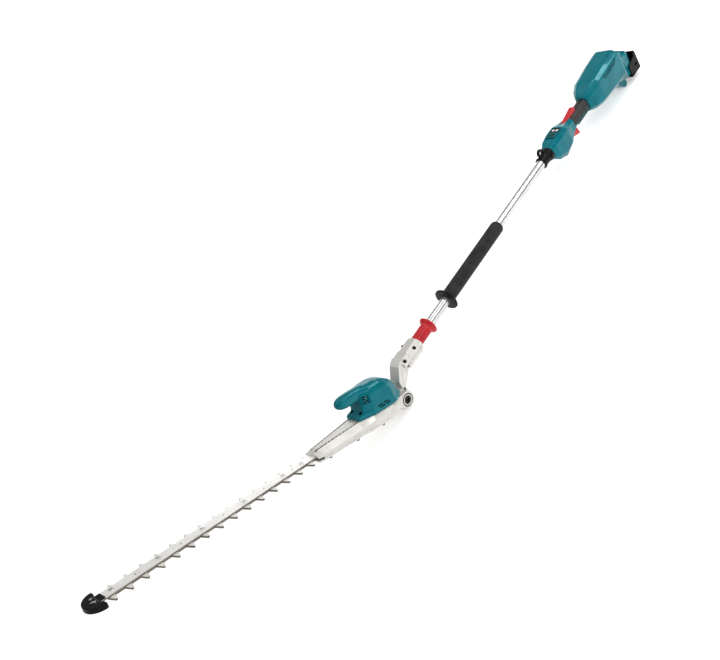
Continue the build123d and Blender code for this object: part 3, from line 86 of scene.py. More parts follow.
def hub(a, y, b):
    """Point about the head's pivot: a forward, y to the left, b up."""
    return (PIVOT + Vector((a, y, b))) * MM


# ---------------------------------------------------------------- shapes
def rounded(corners, radius, steps=4):
    """Closed outline with its corners rounded off."""
    points = [Vector(c) for c in corners]
    outline = []
    for i, corner in enumerate(points):
        before = points[i - 1] - corner
        after = points[(i + 1) % len(points)] - corner
        start = corner + before.normalized() * min(radius, 0.45 * before.length)
        end = corner + after.normalized() * min(radius, 0.45 * after.length)
        for k in range(steps + 1):
            u = k / steps
            outline.append(start * (1 - u) ** 2 + corner * (2 * u * (1 - u)) + end * u * u)
    return outline


def row_at(rows, s):
    """Row of a table at s, in line between its two neighbours."""
    for low, high in zip(rows, rows[1:]):
        if s <= high[0]:
            break
    u = min(1.0, max(0.0, (s - low[0]) / (high[0] - low[0])))
    return [a + (b - a) * u for a, b in zip(low, high)]


def resample(rows, step, soft):
    """Rows at even steps, with the bends of the table eased over the length soft on each side."""
    first, last = rows[0][0], rows[-1][0]
    count = max(1, math.ceil((last - first) / step))
    made = []
    for k in range(count + 1):
        s = first + (last - first) * k / count
        reach = min(soft, s - first, last - s)
        picked = [row_at(rows, s + reach * d) for d in (-1.0, -0.6, -0.2, 0.2, 0.6, 1.0)]
        made.append([sum(column) / len(picked) for column in zip(*picked)])
    return made


def loft(rings):
    """Closed skin over rings of equally many points."""
    count = len(rings[0])
    verts = [p for ring in rings for p in ring]
    faces = [
        (r * count + i, r * count + (i + 1) % count, (r + 1) * count + (i + 1) % count, (r + 1) * count + i)
        for r in range(len(rings) - 1)
        for i in range(count)
    ]
    faces.append(tuple(reversed(range(count))))
    faces.append(tuple(range((len(rings) - 1) * count, len(rings) * count)))
    return verts, faces


def revolve(profile, place, segments=64, start=0.0):
    """Solid ring or body of a closed profile of (along, radius) turned about an axis."""
    rings = []
    for k in range(segments):
        a = start + 2 * math.pi * k / segments
        rings.append([place(x, r * math.cos(a), r * math.sin(a)) for x, r in profile])
    count = len(profile)
    verts = [p for ring in rings for p in ring]
    faces = [
        (r * count + i, r * count + (i + 1) % count,
         ((r + 1) % segments) * count + (i + 1) % count, ((r + 1) % segments) * count + i)
        for r in range(segments)
        for i in range(count)
    ]
    return verts, faces


def prism(outline, place, low, high):
    """Outline of (a, b) pairs drawn out from low to high; place turns (a, b, level) into a point."""
    return loft([[place(a, b, level) for a, b in outline] for level in (low, high)])


def circle(radius, segments=32, middle=(0.0, 0.0)):
    return [
        (middle[0] + radius * math.cos(2 * math.pi * k / segments),
         middle[1] + radius * math.sin(2 * math.pi * k / segments))
        for k in range(segments)
    ]


def slot_outline(length, width, middle=(0.0, 0.0), turn=0.0, steps=8):
    """Outline of a long slot with round ends."""
    reach = (length - width) / 2
    points = []
    for end in (1, -1):
        for k in range(steps + 1):
            a = -math.pi / 2 + math.pi * k / steps
            x = end * (reach + width / 2 * math.cos(a))
            y = end * width / 2 * math.sin(a)
            points.append((x, y))
    c, s = math.cos(turn), math.sin(turn)
    return [(middle[0] + x * c - y * s, middle[1] + x * s + y * c) for x, y in points]


def head_side(a, b, level):
    """Placers for prism(): head or pole, then the view that the outline is drawn in."""
    return head(a, level, b)


def head_top(a, b, level):
    return head(a, b, level)


def pole_side(a, b, level):
    return pole(a, level, b)


# ---------------------------------------------------------------- objects
def mesh_object(name, shapes):
    mesh = bpy.data.meshes.new(name)
    verts, faces = [], []
    for v, f in shapes:
        faces += [tuple(i + len(verts) for i in face) for face in f]
        verts += v
    mesh.from_pydata(verts, [], faces)
    made = bmesh.new()
    made.from_mesh(mesh)
    bmesh.ops.remove_doubles(made, verts=made.verts, dist=1e-6)
    bmesh.ops.recalc_face_normals(made, faces=made.faces)
    made.to_mesh(mesh)
    made.free()
    obj = bpy.data.objects.new(name, mesh)
    bpy.context.scene.collection.objects.link(obj)
    return obj


def bake_modifiers(obj):
    """Applies the modifiers of obj to its mesh."""
    bpy.context.view_layer.update()
    graph = bpy.context.evaluated_depsgraph_get()
    mesh = bpy.data.meshes.new_from_object(obj.evaluated_get(graph))
    old = obj.data
    obj.modifiers.clear()
    obj.data = mesh
    bpy.data.meshes.remove(old)


def carve(obj, shapes, operation="DIFFERENCE", lined=None):
    """Cuts shapes out of obj, or joins them to it; lined is the material left on the cut faces."""
    cutter = mesh_object("cutter", shapes)
    cut = obj.modifiers.new("cut", "BOOLEAN")
    cut.operation = operation
    cut.solver = "EXACT"
    cut.object = cutter
    if lined is not None:
        cutter.data.materials.append(lined)
        cut.material_mode = "TRANSFER"
        if not obj.data.materials:
            obj.data.materials.append(None)
    bake_modifiers(obj)
    bpy.data.objects.remove(cutter)


def cast(obj, voxel, rounds, keep=0.5):
    """Joins overlapping shapes into one skin and melts its edges, as a casting or moulding has them."""
    remesh = obj.modifiers.new("remesh", "REMESH")
    remesh.mode = "VOXEL"
    remesh.voxel_size = voxel * MM
    melt = obj.modifiers.new("melt", "SMOOTH")
    melt.factor = 0.5
    melt.iterations = rounds
    thin = obj.modifiers.new("thin", "DECIMATE")
    thin.ratio = keep
    bake_modifiers(obj)


def soften(obj, width, segments=3, angle=28):
    bevel = obj.modifiers.new("bevel", "BEVEL")
    bevel.width = width * MM
    bevel.segments = segments
    bevel.limit_method = "ANGLE"
    bevel.angle_limit = math.radians(angle)
    bake_modifiers(obj)


def dress(obj, body, material, replaces=(), sharp=40):
    """Shading, material and place under the empty of its body; hides the CAD nodes that it replaces."""
    obj.data.shade_smooth()
    obj.data.set_sharp_from_angle(angle=math.radians(sharp))
    weighted = obj.modifiers.new("normals", "WEIGHTED_NORMAL")
    weighted.keep_sharp = True
    indices = [face.material_index for face in obj.data.polygons]
    obj.data.materials.clear()
    for m in material:
        obj.data.materials.append(m)
    obj.data.polygons.foreach_set("material_index", [min(i, len(material) - 1) for i in indices])
    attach(obj, body)
    if replaces:
        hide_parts(*replaces)
    return obj


# ---------------------------------------------------------------- materials
def shader(name):
    material = bpy.data.materials.new(name)
    material.use_nodes = True
    tree = material.node_tree
    return material, tree, tree.nodes["Principled BSDF"]


def add(tree, kind, **values):
    node = tree.nodes.new(kind)
    for key, value in values.items():
        setattr(node, key, value)
    return node


def field(tree, scale, stretch=(1, 1, 1), detail=3.0, turn=0.0, kind="ShaderNodeTexNoise"):
    """Noise over the object's own coordinates, in cells per metre."""
    coords = add(tree, "ShaderNodeTexCoord")
    mapping = add(tree, "ShaderNodeMapping")
    mapping.inputs["Scale"].default_value = stretch
    mapping.inputs["Rotation"].default_value = (0, turn, 0)
    tree.links.new(coords.outputs["Object"], mapping.inputs["Vector"])
    noise = add(tree, kind)
    noise.inputs["Scale"].default_value = scale
    if "Detail" in noise.inputs:
        noise.inputs["Detail"].default_value = detail
    tree.links.new(mapping.outputs["Vector"], noise.inputs["Vector"])
    return noise.outputs[0]


def spread(tree, source, low, high, start=0.3, end=0.7):
    """The values of source from start to end, moved to low to high."""
    node = add(tree, "ShaderNodeMapRange")
    node.inputs["From Min"].default_value = start
    node.inputs["From Max"].default_value = end
    node.inputs["To Min"].default_value = low
    node.inputs["To Max"].default_value = high
    tree.links.new(source, node.inputs["Value"])
    return node.outputs["Result"]


def tint(tree, factor, dark, light):
    node = add(tree, "ShaderNodeMix", data_type="RGBA")
    node.inputs["A"].default_value = (*dark, 1)
    node.inputs["B"].default_value = (*light, 1)
    tree.links.new(factor, node.inputs["Factor"])
    return node.outputs["Result"]


def relief(tree, bsdf, layers):
    """Stacked bumps from (height, strength, distance in millimetres) layers."""
    below = None
    for height, strength, distance in layers:
        bump = add(tree, "ShaderNodeBump")
        bump.inputs["Strength"].default_value = strength
        bump.inputs["Distance"].default_value = distance * MM
        tree.links.new(height, bump.inputs["Height"])
        if below is not None:
            tree.links.new(below, bump.inputs["Normal"])
        below = bump.outputs["Normal"]
    tree.links.new(below, bsdf.inputs["Normal"])


def with_wear(tree, bsdf, tone, colour, dense, gain, start):
    """Tone to the base colour, paler on worn edges where the mesh is dense enough to feel them."""
    if dense:
        geometry = add(tree, "ShaderNodeNewGeometry")
        mask = spread(tree, geometry.outputs["Pointiness"], 0.0, 1.0, start, start + 0.10)
        worn = tint(tree, mask, colour, [min(1.0, c * gain + 0.004) for c in colour])
        mix = worn.node
        tree.links.new(tone, mix.inputs["A"])
        tone = worn
    tree.links.new(tone, bsdf.inputs["Base Color"])


def moulded(name, dense, colour, rough, grain=0.3, shine=0.4, edge=1.35, pores=1400, gleam=(1, 1, 1)):
    """Moulded plastic: fine spark texture, slight unevenness of tone and gloss, paler worn edges."""
    material, tree, bsdf = shader(name)
    dark = [c * 0.86 for c in colour]
    light = [min(1.0, c * 1.12 + 0.003) for c in colour]
    tone = tint(tree, spread(tree, field(tree, 26.0, detail=5.0), 0.0, 1.0), dark, light)
    with_wear(tree, bsdf, tone, colour, dense, edge, 0.54)
    gloss = spread(tree, field(tree, 60.0, detail=5.0), rough * 0.8, rough * 1.2)
    tree.links.new(gloss, bsdf.inputs["Roughness"])
    bsdf.inputs["Specular IOR Level"].default_value = shine
    bsdf.inputs["Specular Tint"].default_value = (*gleam, 1)
    relief(tree, bsdf, [(field(tree, pores, detail=2.0), grain, 0.06), (field(tree, 14.0), 0.10, 0.6)])
    return material


def rubbery(name, dense, colour, rough, pores, strength, cells=False):
    """Soft rubber or foam: matt, with pores and dusty lighter patches."""
    material, tree, bsdf = shader(name)
    dark = [c * 0.72 for c in colour]
    light = [c * 1.35 + 0.006 for c in colour]
    tone = tint(tree, spread(tree, field(tree, 45.0, detail=6.0), 0.0, 1.0, 0.35, 0.65), dark, light)
    with_wear(tree, bsdf, tone, colour, dense, 2.0, 0.56)
    gloss = spread(tree, field(tree, 150.0), rough * 0.88, min(1.0, rough * 1.1))
    tree.links.new(gloss, bsdf.inputs["Roughness"])
    bsdf.inputs["Specular IOR Level"].default_value = 0.25
    kind = "ShaderNodeTexVoronoi" if cells else "ShaderNodeTexNoise"
    relief(tree, bsdf, [(field(tree, pores, kind=kind), strength, 0.25), (field(tree, 70.0), 0.25, 0.3)])
    return material


def metal(
    name, dense, colour, rough, pores=900, strength=0.3, stretch=(1, 1, 1), turn=0.0, stain=0.12, metallic=1.0
):
    """Metal with a grain: stretched for brushing, even for castings, with faint stains."""
    material, tree, bsdf = shader(name)
    dark = [c * (1 - stain) for c in colour]
    light = [min(1.0, c * (1 + stain * 0.6)) for c in colour]
    tone = tint(tree, spread(tree, field(tree, 22.0, detail=7.0), 0.0, 1.0), dark, light)
    with_wear(tree, bsdf, tone, colour, dense, 1.15, 0.54)
    bsdf.inputs["Metallic"].default_value = metallic
    grain = field(tree, pores, stretch=stretch, turn=turn, detail=4.0)
    tree.links.new(spread(tree, grain, rough * 0.75, rough * 1.25), bsdf.inputs["Roughness"])
    relief(tree, bsdf, [(grain, strength, 0.05), (field(tree, 35.0), 0.10, 0.4)])
    return material


HEAD_TURN = -math.atan2(AHEAD.z, AHEAD.x)
TEAL = (0.0, 0.134, 0.166)
TEAL_GLEAM = (0.35, 0.9, 1.0)
BRUSHED = {"stretch": (0.02, 1, 1)}
FINISHES = {
    "teal_plastic": (moulded, TEAL, 0.13, {"grain": 0.03, "shine": 0.36, "edge": 1.3, "gleam": TEAL_GLEAM}),
    "black_plastic": (moulded, (0.0045, 0.0045, 0.005), 0.32, {"grain": 0.25, "edge": 2.5, "shine": 0.10}),
    "red_plastic": (moulded, (0.52, 0.014, 0.022), 0.33, {"grain": 0.2, "shine": 0.35}),
    "grip_rubber": (rubbery, (0.010, 0.0078, 0.0066), 0.36, {"pores": 1500.0, "strength": 0.35}),
    "grip_foam": (rubbery, (0.013, 0.0125, 0.013), 0.68, {"pores": 1100.0, "strength": 0.8, "cells": True}),
    "cast_aluminium": (metal, (0.66, 0.645, 0.605), 0.38, {"pores": 1300, "strength": 0.5, "metallic": 0.5}),
    "tube_aluminium": (metal, (0.66, 0.66, 0.655), 0.24, {"strength": 0.05, "metallic": 0.9, **BRUSHED}),
    "blade_steel": (metal, (0.93, 0.92, 0.885), 0.34, {"turn": HEAD_TURN, "metallic": 0.3, **BRUSHED}),
    "plain_steel": (metal, (0.55, 0.55, 0.56), 0.30, {"pores": 1200, "strength": 0.15}),
    "black_screw": (metal, (0.012, 0.012, 0.013), 0.38, {"pores": 1200, "metallic": 0.5}),
    "bright_screw": (metal, (0.80, 0.80, 0.80), 0.22, {"pores": 800, "strength": 0.1}),
    "bronze": (metal, (0.52, 0.33, 0.13), 0.40, {"pores": 1500}),
    "copper": (metal, (0.55, 0.20, 0.08), 0.35, {"strength": 0.6, "stretch": (1, 1, 0.1)}),
    "contact_metal": (metal, (0.74, 0.56, 0.26), 0.25, {"strength": 0.1}),
    "laminated_steel": (metal, (0.22, 0.22, 0.23), 0.45, {"strength": 0.6, "stretch": (0.1, 0.1, 1)}),
    "circuit_board": (moulded, (0.01, 0.09, 0.04), 0.40, {}),
    "button_grey": (moulded, (0.60, 0.61, 0.60), 0.42, {}),
    "lamp_lens": (moulded, (0.05, 0.20, 0.07), 0.15, {"grain": 0.05, "shine": 0.6}),
    "felt": (rubbery, (0.12, 0.11, 0.10), 0.95, {"pores": 1300.0, "strength": 1.0}),
    "cable_sheath": (rubbery, (0.012, 0.012, 0.012), 0.50, {"pores": 1300.0, "strength": 0.2}),
    # darker steel painted on the blades' and bar's bevels and side faces as shade
    "edge_and_side_shade": (metal, (0.20, 0.175, 0.14), 0.34, {"pores": 1300, "metallic": 0.6}),
    # darker teal painted into the rear housing's flank grooves as shade
    "teal_groove_shade": (moulded, (0.0, 0.034, 0.042), 0.4, {"shine": 0.2}),
    # near-black painted into cut grooves, vents, screw holes and the neck socket as shade; also the dark colour of
    # the control panel's inset fields
    "recess_shade_and_dark_inset": (moulded, (0.010, 0.011, 0.011), 0.6, {"shine": 0.2}),
}
made_looks = {}


def look(slot, dense=False):
    """Material of a slot; a dense mesh also gets wear along its edges."""
    if (slot, dense) not in made_looks:
        maker, colour, rough, options = FINISHES[slot]
        name = slot + ("_worn" if dense else "")
        made_looks[slot, dense] = maker(name, dense, colour, rough, **options)
    return made_looks[slot, dense]


# ---------------------------------------------------------------- pieces
BODY_OF = {n: body for body, group in frame["record"]["behaviour"]["bodies"].items() for n in group}
SLOT_OF = {part["node"]: part["material_slot"] for part in frame["record"]["subparts"]}


def copy_of(node):
    """New object with the shape of a CAD node."""
    mesh = nodes[node].data.copy()
    shape = bmesh.new()
    shape.from_mesh(mesh)
    bmesh.ops.remove_doubles(shape, verts=shape.verts, dist=1e-6)
    shape.to_mesh(mesh)
    shape.free()
    obj = bpy.data.objects.new(node + "_skin", mesh)
    bpy.context.scene.collection.objects.link(obj)
    return obj


def stands_for(obj, node, sharp=45, dense=True, extra=()):
    """Gives obj the body, slot and finish of the CAD node that it replaces."""
    slot = SLOT_OF[node]
    materials = [look(slot, dense)] + [look(name) for name in extra]
    return dress(obj, BODY_OF[node], materials, [node], sharp)


def melted(node, voxel, rounds, keep=0.4, sharp=60):
    """Skin over a CAD node with its edges rounded off as in a mould."""
    obj = copy_of(node)
    cast(obj, voxel, rounds, keep)
    return stands_for(obj, node, sharp)


# Castings and mouldings whose CAD shape is right but for its sharp edges: voxel, melt rounds, share kept.
MELTED = {
    "elbow_arm": (0.9, 8, 0.4),
    "clamp_cap": (0.7, 5, 0.4),
    "gear_case_cover": (0.9, 3, 0.4),
    "handle_left": (0.8, 5, 0.45),
    "handle_right": (0.8, 5, 0.45),
    "grip_overmold": (0.6, 6, 0.4),
    "pole_collar": (0.5, 4, 0.5),
    "strap_hanger": (0.4, 6, 0.5),
    "trigger": (0.45, 7, 0.5),
    "lock_off_lever": (0.45, 7, 0.5),
    "battery_guard": (0.8, 4, 0.4),
    "tip_guard": (0.7, 5, 0.4),
}
for node, (voxel, rounds, keep) in MELTED.items():
    melted(node, voxel, rounds, keep)


# ---- gear case: casting with a rail groove on each side of its flat ridge, its dark line painted shade, as (t, ridge top, rail's y)
RAIL_ROWS = [
    (148.0, 19.4, 16.8), (160.0, 18.9, 16.0), (210.0, 17.0, 12.6), (270.0, 13.7, 8.4), (292.0, 12.0, 7.2),
]
RAIL_DEPTH = 3.2
RAIL_WIDE, RAIL_NARROW = 4.6, 3.2
RAIL_START, RAIL_LENGTH = 150.0, 140.0
CLEAR = 12.0
case = copy_of("gear_case")
cast(case, 0.9, 4, 0.4)
for side in (1, -1):
    rail = []
    for t, top, y in RAIL_ROWS:
        outer = y + RAIL_WIDE - (RAIL_WIDE - RAIL_NARROW) * (t - RAIL_START) / RAIL_LENGTH
        low, high = top - RAIL_DEPTH, top + CLEAR
        corners = [(y, low), (outer, low), (outer, high), (y, high)]
        rail.append([head(t, side * a, n) for a, n in corners])
    carve(case, [loft(rail)], lined=look("recess_shade_and_dark_inset"))
EAR_FACE = 30.0
RING_INNER, RING_OUTER, RING_DEPTH, RING_CLEAR = 14.2, 16.6, 2.2, 9.0
# the ring grooves on each ear are lined near-black as painted shade
for side in (1, -1):
    ring_low, ring_high = EAR_FACE - RING_DEPTH, EAR_FACE + RING_CLEAR
    ring = revolve(
        [(ring_low, RING_INNER), (ring_low, RING_OUTER), (ring_high, RING_OUTER), (ring_high, RING_INNER)],
        lambda y, a, b: hub(a, side * y, b), 72,
    )
    carve(case, [ring], lined=look("recess_shade_and_dark_inset"))
stands_for(case, "gear_case", 45, extra=["recess_shade_and_dark_inset"])


# ---- rear housing: (s, top half, top, side half, side's top, side's bottom, bottom half, bottom)
REAR_STATIONS = [
    (1068.0, 8.0, 20.5, 20.0, 12.0, -16.5, 10.0, -26.5),
    (1076.0, 13.0, 28.0, 26.5, 18.0, -18.0, 12.5, -30.5),
    (1090.0, 20.0, 36.0, 35.5, 26.0, -21.0, 18.5, -35.5),
    (1116.0, 26.0, 44.0, 43.0, 33.5, -24.5, 24.5, -41.0),
    (1185.0, 27.0, 50.5, 45.0, 39.0, -26.0, 26.0, -46.0),
    (1248.0, 25.5, 54.5, 45.0, 42.5, -30.0, 26.0, -55.0),
    (1257.0, 22.0, 44.0, 40.0, 31.0, -44.0, 28.0, -59.0),
    (1264.0, 20.0, 27.0, 35.5, 12.0, -52.0, 30.0, -62.0),
    (1287.0, 18.0, 22.0, 35.5, 8.0, -53.0, 30.0, -62.5),
]
REAR_SCREWS = [(1096.0, -22.0), (1120.0, 32.0), (1150.0, -34.0), (1236.0, 40.0), (1226.0, -42.0)]
WALL = 2.8
FOOT = [
    (1214.0, -46.0), (1254.0, -POLE_Z), (1264.0, -POLE_Z), (1270.0, -78.0), (1266.0, -58.0), (1240.0, -50.0),
]
FOOT_HALF = 15.0
BOSS_R, SCREW_R = 5.0, 3.8
HALF_SPACE = [(1060, -100), (1300, -100), (1300, 100), (1060, 100)]
OVERLAP = 0.08
GROOVE_S, GROOVE_Z, GROOVE_STEP = 1182.0, 34.0, 4.2
GROOVE_LENGTH, GROOVE_SHORTER, GROOVE_WIDTH = 84.0, 8.0, 2.2
GROOVE_FLOOR = 43.2
NECK = (1060.0, 7.1, 15.4, 16.3, 8.6, -13.6, 8.1, -22.6)
NECK_DEPTH = 22.2


def housing_ring(row, corner, inset=0.0):
    s, top_half, top, side, up, down, low_half, low = row
    right = [
        (top_half - 0.5 * inset, top - inset), (side - inset, up - 0.4 * inset),
        (side - inset, down + 0.4 * inset), (low_half - 0.5 * inset, low + inset),
    ]
    outline = right + [(-y, z) for y, z in reversed(right)]
    return [pole(s, y, z) for y, z in rounded(outline, corner)]


def housing_loft(rows, step, soft, corner, inset=0.0):
    return loft([housing_ring(row, corner, inset) for row in resample(rows, step, soft)])


for name, side in (("rear_housing_left", 1), ("rear_housing_right", -1)):
    hollow = mesh_object("hollow", [housing_loft(REAR_STATIONS[1:-1], 6.0, 6.0, 3.0, WALL)])
    bosses = [prism(circle(BOSS_R, 24, place), pole_side, -60, 60) for place in REAR_SCREWS]
    carve(hollow, bosses)
    obj = mesh_object(name + "_shell", [housing_loft(REAR_STATIONS, 3.0, 5.0, 4.5)])
    carve(obj, [prism(rounded(FOOT, 2.0), pole_side, -FOOT_HALF, FOOT_HALF)], "UNION")
    cut = obj.modifiers.new("cut", "BOOLEAN")
    cut.operation = "DIFFERENCE"
    cut.solver = "EXACT"
    cut.object = hollow
    bake_modifiers(obj)
    bpy.data.objects.remove(hollow)
    carve(obj, [prism(HALF_SPACE, pole_side, -80 * side, OVERLAP * side)])
    flank = []
    for row in range(3):
        middle = (GROOVE_S, GROOVE_Z - row * GROOVE_STEP)
        groove = slot_outline(GROOVE_LENGTH - row * GROOVE_SHORTER, GROOVE_WIDTH, middle, math.radians(4.0))
        flank.append(prism(groove, pole_side, side * GROOVE_FLOOR, side * 60.0))
    socket = housing_ring(NECK, 3.0)
    depth = pole(NECK[0] + NECK_DEPTH, 0, 0) - pole(NECK[0], 0, 0)
    cuts = [loft([socket, [p + depth for p in socket]])]
    if side < 0:
        cuts += [prism(circle(SCREW_R, 24, place), pole_side, -16.0, -70.0) for place in REAR_SCREWS]
    # the flank grooves are lined with darker teal as painted shade
    for cutter in flank:
        carve(obj, [cutter], lined=look("teal_groove_shade"))
    # the neck socket and screw holes are lined near-black as painted shade
    for cutter in cuts:
        carve(obj, [cutter], lined=look("recess_shade_and_dark_inset"))
    soften(obj, 0.55, 2, 50)
    stands_for(obj, name, 35, dense=False, extra=["teal_groove_shade", "recess_shade_and_dark_inset"])


# ---- motor cover: (n, rear t, half, middle t, half, fore t, half, front t, half)
COVER_LEVELS = [
    (20.1, 10.0, 24.0, 44.0, 40.0, 114.0, 38.5, 156.0, 23.0),
    (28.0, 10.0, 24.0, 44.0, 40.0, 113.5, 38.3, 155.5, 22.8),
    (32.0, 15.5, 22.3, 46.0, 38.3, 112.5, 36.8, 139.0, 22.0),
    (54.0, 21.0, 20.0, 48.0, 35.8, 111.0, 34.8, 136.5, 21.0),
    (71.0, 31.0, 18.0, 54.0, 31.5, 109.0, 31.2, 134.0, 20.0),
    (81.0, 46.0, 15.5, 63.0, 26.0, 107.0, 26.5, 130.0, 18.0),
    (87.5, 62.0, 11.0, 74.0, 18.5, 104.0, 19.0, 123.0, 13.5),
    (90.0, 72.0, 6.0, 82.0, 11.0, 101.0, 11.5, 114.0, 7.5),
]
NOSE = [
    (104.0, 0.0), (104.0, 15.0), (125.0, 16.4), (150.0, 16.9), (170.0, 16.4), (181.0, 14.6),
    (188.5, 11.6), (193.5, 7.6), (195.8, 3.6), (196.4, 0.0),
]
NOSE_N = 75.6


def cover_ring(row, corner, inset=0.0):
    n, rear, rear_half, middle, middle_half, fore, fore_half, front, front_half = row
    right = [
        (rear + inset, rear_half - 0.6 * inset), (middle, middle_half - inset),
        (fore, fore_half - inset), (front - inset, front_half - 0.6 * inset),
    ]
    outline = right + [(t, -y) for t, y in reversed(right)]
    return [head(t, y, n) for t, y in rounded(outline, corner)]


def nose_point(t, a, b):
    """The nose's cross-section: a circle squared up a little."""
    r = math.hypot(a, b)
    if r < 1e-6:
        return head(t, 0, NOSE_N)
    square = 1 + 0.045 * (1 - math.cos(4 * math.atan2(b, a))) / 2
    return head(t, a * square, NOSE_N + b * square)


def nose_shape(profile, segments=48):
    rings = []
    for t, r in profile:
        if r <= 0:
            continue
        rings.append([
            nose_point(t, r * math.cos(2 * math.pi * k / segments), r * math.sin(2 * math.pi * k / segments))
            for k in range(segments)
        ])
    return loft(rings)


TAB_T, TAB_Y, TAB_HALF = -4.0, 24.0, 7.0
TAB_REAR, TAB_FRONT = -11.0, 22.0
COVER_FOOT, TAB_TOP = COVER_LEVELS[0][0], 27.5
COVER_WALL = 3.0
cover = mesh_object("motor_cover_shell", [
    loft([cover_ring(row, 3.0) for row in resample(COVER_LEVELS, 1.5, 1.6)]),
    nose_shape(NOSE),
])
tabs = []
for y in (TAB_Y, -TAB_Y):
    low, high = y - TAB_HALF, y + TAB_HALF
    outline = [(TAB_REAR, low), (TAB_FRONT, low), (TAB_FRONT, high), (TAB_REAR, high)]
    tabs.append(prism(rounded(outline, 6.0), head_top, COVER_FOOT, TAB_TOP))
carve(cover, tabs, "UNION")
cast(cover, 1.0, 4, 0.4)
carve(cover, [loft([cover_ring(row, 2.0, COVER_WALL) for row in COVER_LEVELS[1:-2]])])
BELOW_COVER = [(-40, -80), (220, -80), (220, 80), (-40, 80)]
SEAT = 20.35
carve(cover, [prism(BELOW_COVER, head_top, 0.0, SEAT)])
inner = [cover_ring((n, *COVER_LEVELS[0][1:]), 2.0, 3.2) for n in (15.0, 24.0)]
carve(cover, [loft(inner)])
VENT_N = (54.5, 59.4, 64.3, 69.2)
REAR_VENT_N = (30.0, 35.4)
REAR_VENTS = ((69.0, 15.0), (88.0, 18.0))
FRONT_VENT_T, FRONT_VENT_LENGTH = 124.0, 16.5
FRONT_VENT_WIDTH, REAR_VENT_WIDTH = 2.7, 2.9
OUTSIDE = 60.0
SCREW_WELL = 4.4
vents = []
for side in (1, -1):
    for n in VENT_N:
        slot = slot_outline(FRONT_VENT_LENGTH, FRONT_VENT_WIDTH, (FRONT_VENT_T, n))
        vents.append(prism(slot, head_side, side * 12.0, side * OUTSIDE))
    for n in REAR_VENT_N:
        for t, length in REAR_VENTS:
            slot = slot_outline(length, REAR_VENT_WIDTH, (t + (n - REAR_VENT_N[0]), n))
            vents.append(prism(slot, head_side, side * 29.0, side * OUTSIDE))
    vents.append(prism(circle(SCREW_WELL, 28, (141.0, side * 15.0)), head_top, 26.2, 36.0))
    vents.append(prism(circle(SCREW_WELL, 28, (TAB_T, side * TAB_Y)), head_top, 25.6, OUTSIDE))
# the vents and screw wells are lined near-black as painted shade
for cutter in vents:
    carve(cover, [cutter], lined=look("recess_shade_and_dark_inset"))
stands_for(cover, "motor_cover", 38, extra=["recess_shade_and_dark_inset"])


# ---- blades and bar, with their ground edges and sides painted darker as shade
FLAT = 0.9
for node, ground in (("upper_blade", 1.2), ("lower_blade", 1.2), ("guide_bar", 0.7)):
    obj = copy_of(node)
    bevel = obj.modifiers.new("ground", "BEVEL")
    bevel.width = ground * MM
    bevel.segments = 1
    bevel.limit_method = "ANGLE"
    bevel.angle_limit = math.radians(50)
    bevel.material = 1
    obj.data.materials.clear()
    obj.data.materials.append(look("blade_steel"))
    obj.data.materials.append(look("edge_and_side_shade"))
    bake_modifiers(obj)
    # side faces, like the bevels, get the darker steel as painted shade
    for face in obj.data.polygons:
        if abs(face.normal.dot(ABOVE)) < FLAT:
            face.material_index = 1
    stands_for(obj, node, 25, dense=False, extra=["edge_and_side_shade"])


# ---- turned and sheathed pieces on the pole
def turned(name, node, profile, segments=96, sharp=35, dense=False):
    """Piece turned about the pole from a closed (s, radius) profile."""
    obj = mesh_object(name, [revolve(profile, pole, segments)])
    return stands_for(obj, node, sharp, dense)


tube = [(66.0, 11.75), (66.0, 12.9), (66.4, TUBE_R), (899.6, TUBE_R), (900.0, 12.9), (900.0, 11.75)]
turned("pole_tube_drawn", "pole_tube", tube)

SLEEVE_LOW = 133.5
RIB_PITCH = 5.7
ribs = []
for k in range(7):
    s = SLEEVE_LOW + 5.0 + k * RIB_PITCH
    ribs += [(s, 16.5), (s + 0.6, 15.0), (s + 2.2, 15.0), (s + 2.8, 16.5)]
sleeve = [(SLEEVE_LOW, 13.6), (SLEEVE_LOW, 15.5), (SLEEVE_LOW + 0.9, 16.3)] + ribs + [
    (180.6, 16.4), (183.0, 17.4), (185.6, 19.8), (188.4, 23.2), (190.6, 25.1), (192.2, 25.4),
    (193.0, 24.7), (193.0, 23.0), (191.8, 20.6), (189.6, 17.4), (188.0, 14.4), (188.0, 13.6),
]
turned("release_sleeve_ribbed", "release_sleeve", sleeve)

FLANGE = [
    (280.4, 13.5), (280.4, 26.0), (280.8, 31.2), (281.8, 32.6), (283.4, 32.9), (284.8, 32.0),
    (285.8, 29.6), (286.5, 24.0), (287.0, 19.4), (287.0, 13.5),
]
turned("grip_flange_moulded", "grip_flange", FLANGE)

FOAM_LOW, FOAM_HIGH, FOAM_R, FOAM_BORE = 287.2, 557.0, 19.0, 13.4
FOAM_SIDES = 12
foam_profile = [(0.0, -2.2), (0.5, -1.1), (1.4, -0.4), (3.0, 0.0)]
length = FOAM_HIGH - FOAM_LOW
foam_profile += [(3.0 + (length - 11.0) * k / 40, 0.0) for k in range(1, 41)]
foam_end = [(5.4, -0.5), (3.0, -1.5), (1.2, -3.0), (0.3, -4.6), (0.0, -5.6)]
foam_profile += [(length - left, drop) for left, drop in foam_end]
rings = []
for along, drop in foam_profile:
    r = FOAM_R + drop
    turns = [2 * math.pi * (k + 0.5) / FOAM_SIDES for k in range(FOAM_SIDES)]
    corners = [(r * math.cos(a), r * math.sin(a)) for a in turns]
    rings.append([pole(FOAM_LOW + along, y, z) for y, z in rounded(corners, 2.2, 3)])
foam = mesh_object("front_grip_foam", [loft(rings)])
bore = [(280.0, 0.02), (280.0, FOAM_BORE), (560.0, FOAM_BORE), (560.0, 0.02)]
carve(foam, [revolve(bore, pole, 48)])
stands_for(foam, "front_grip", 50, dense=False)

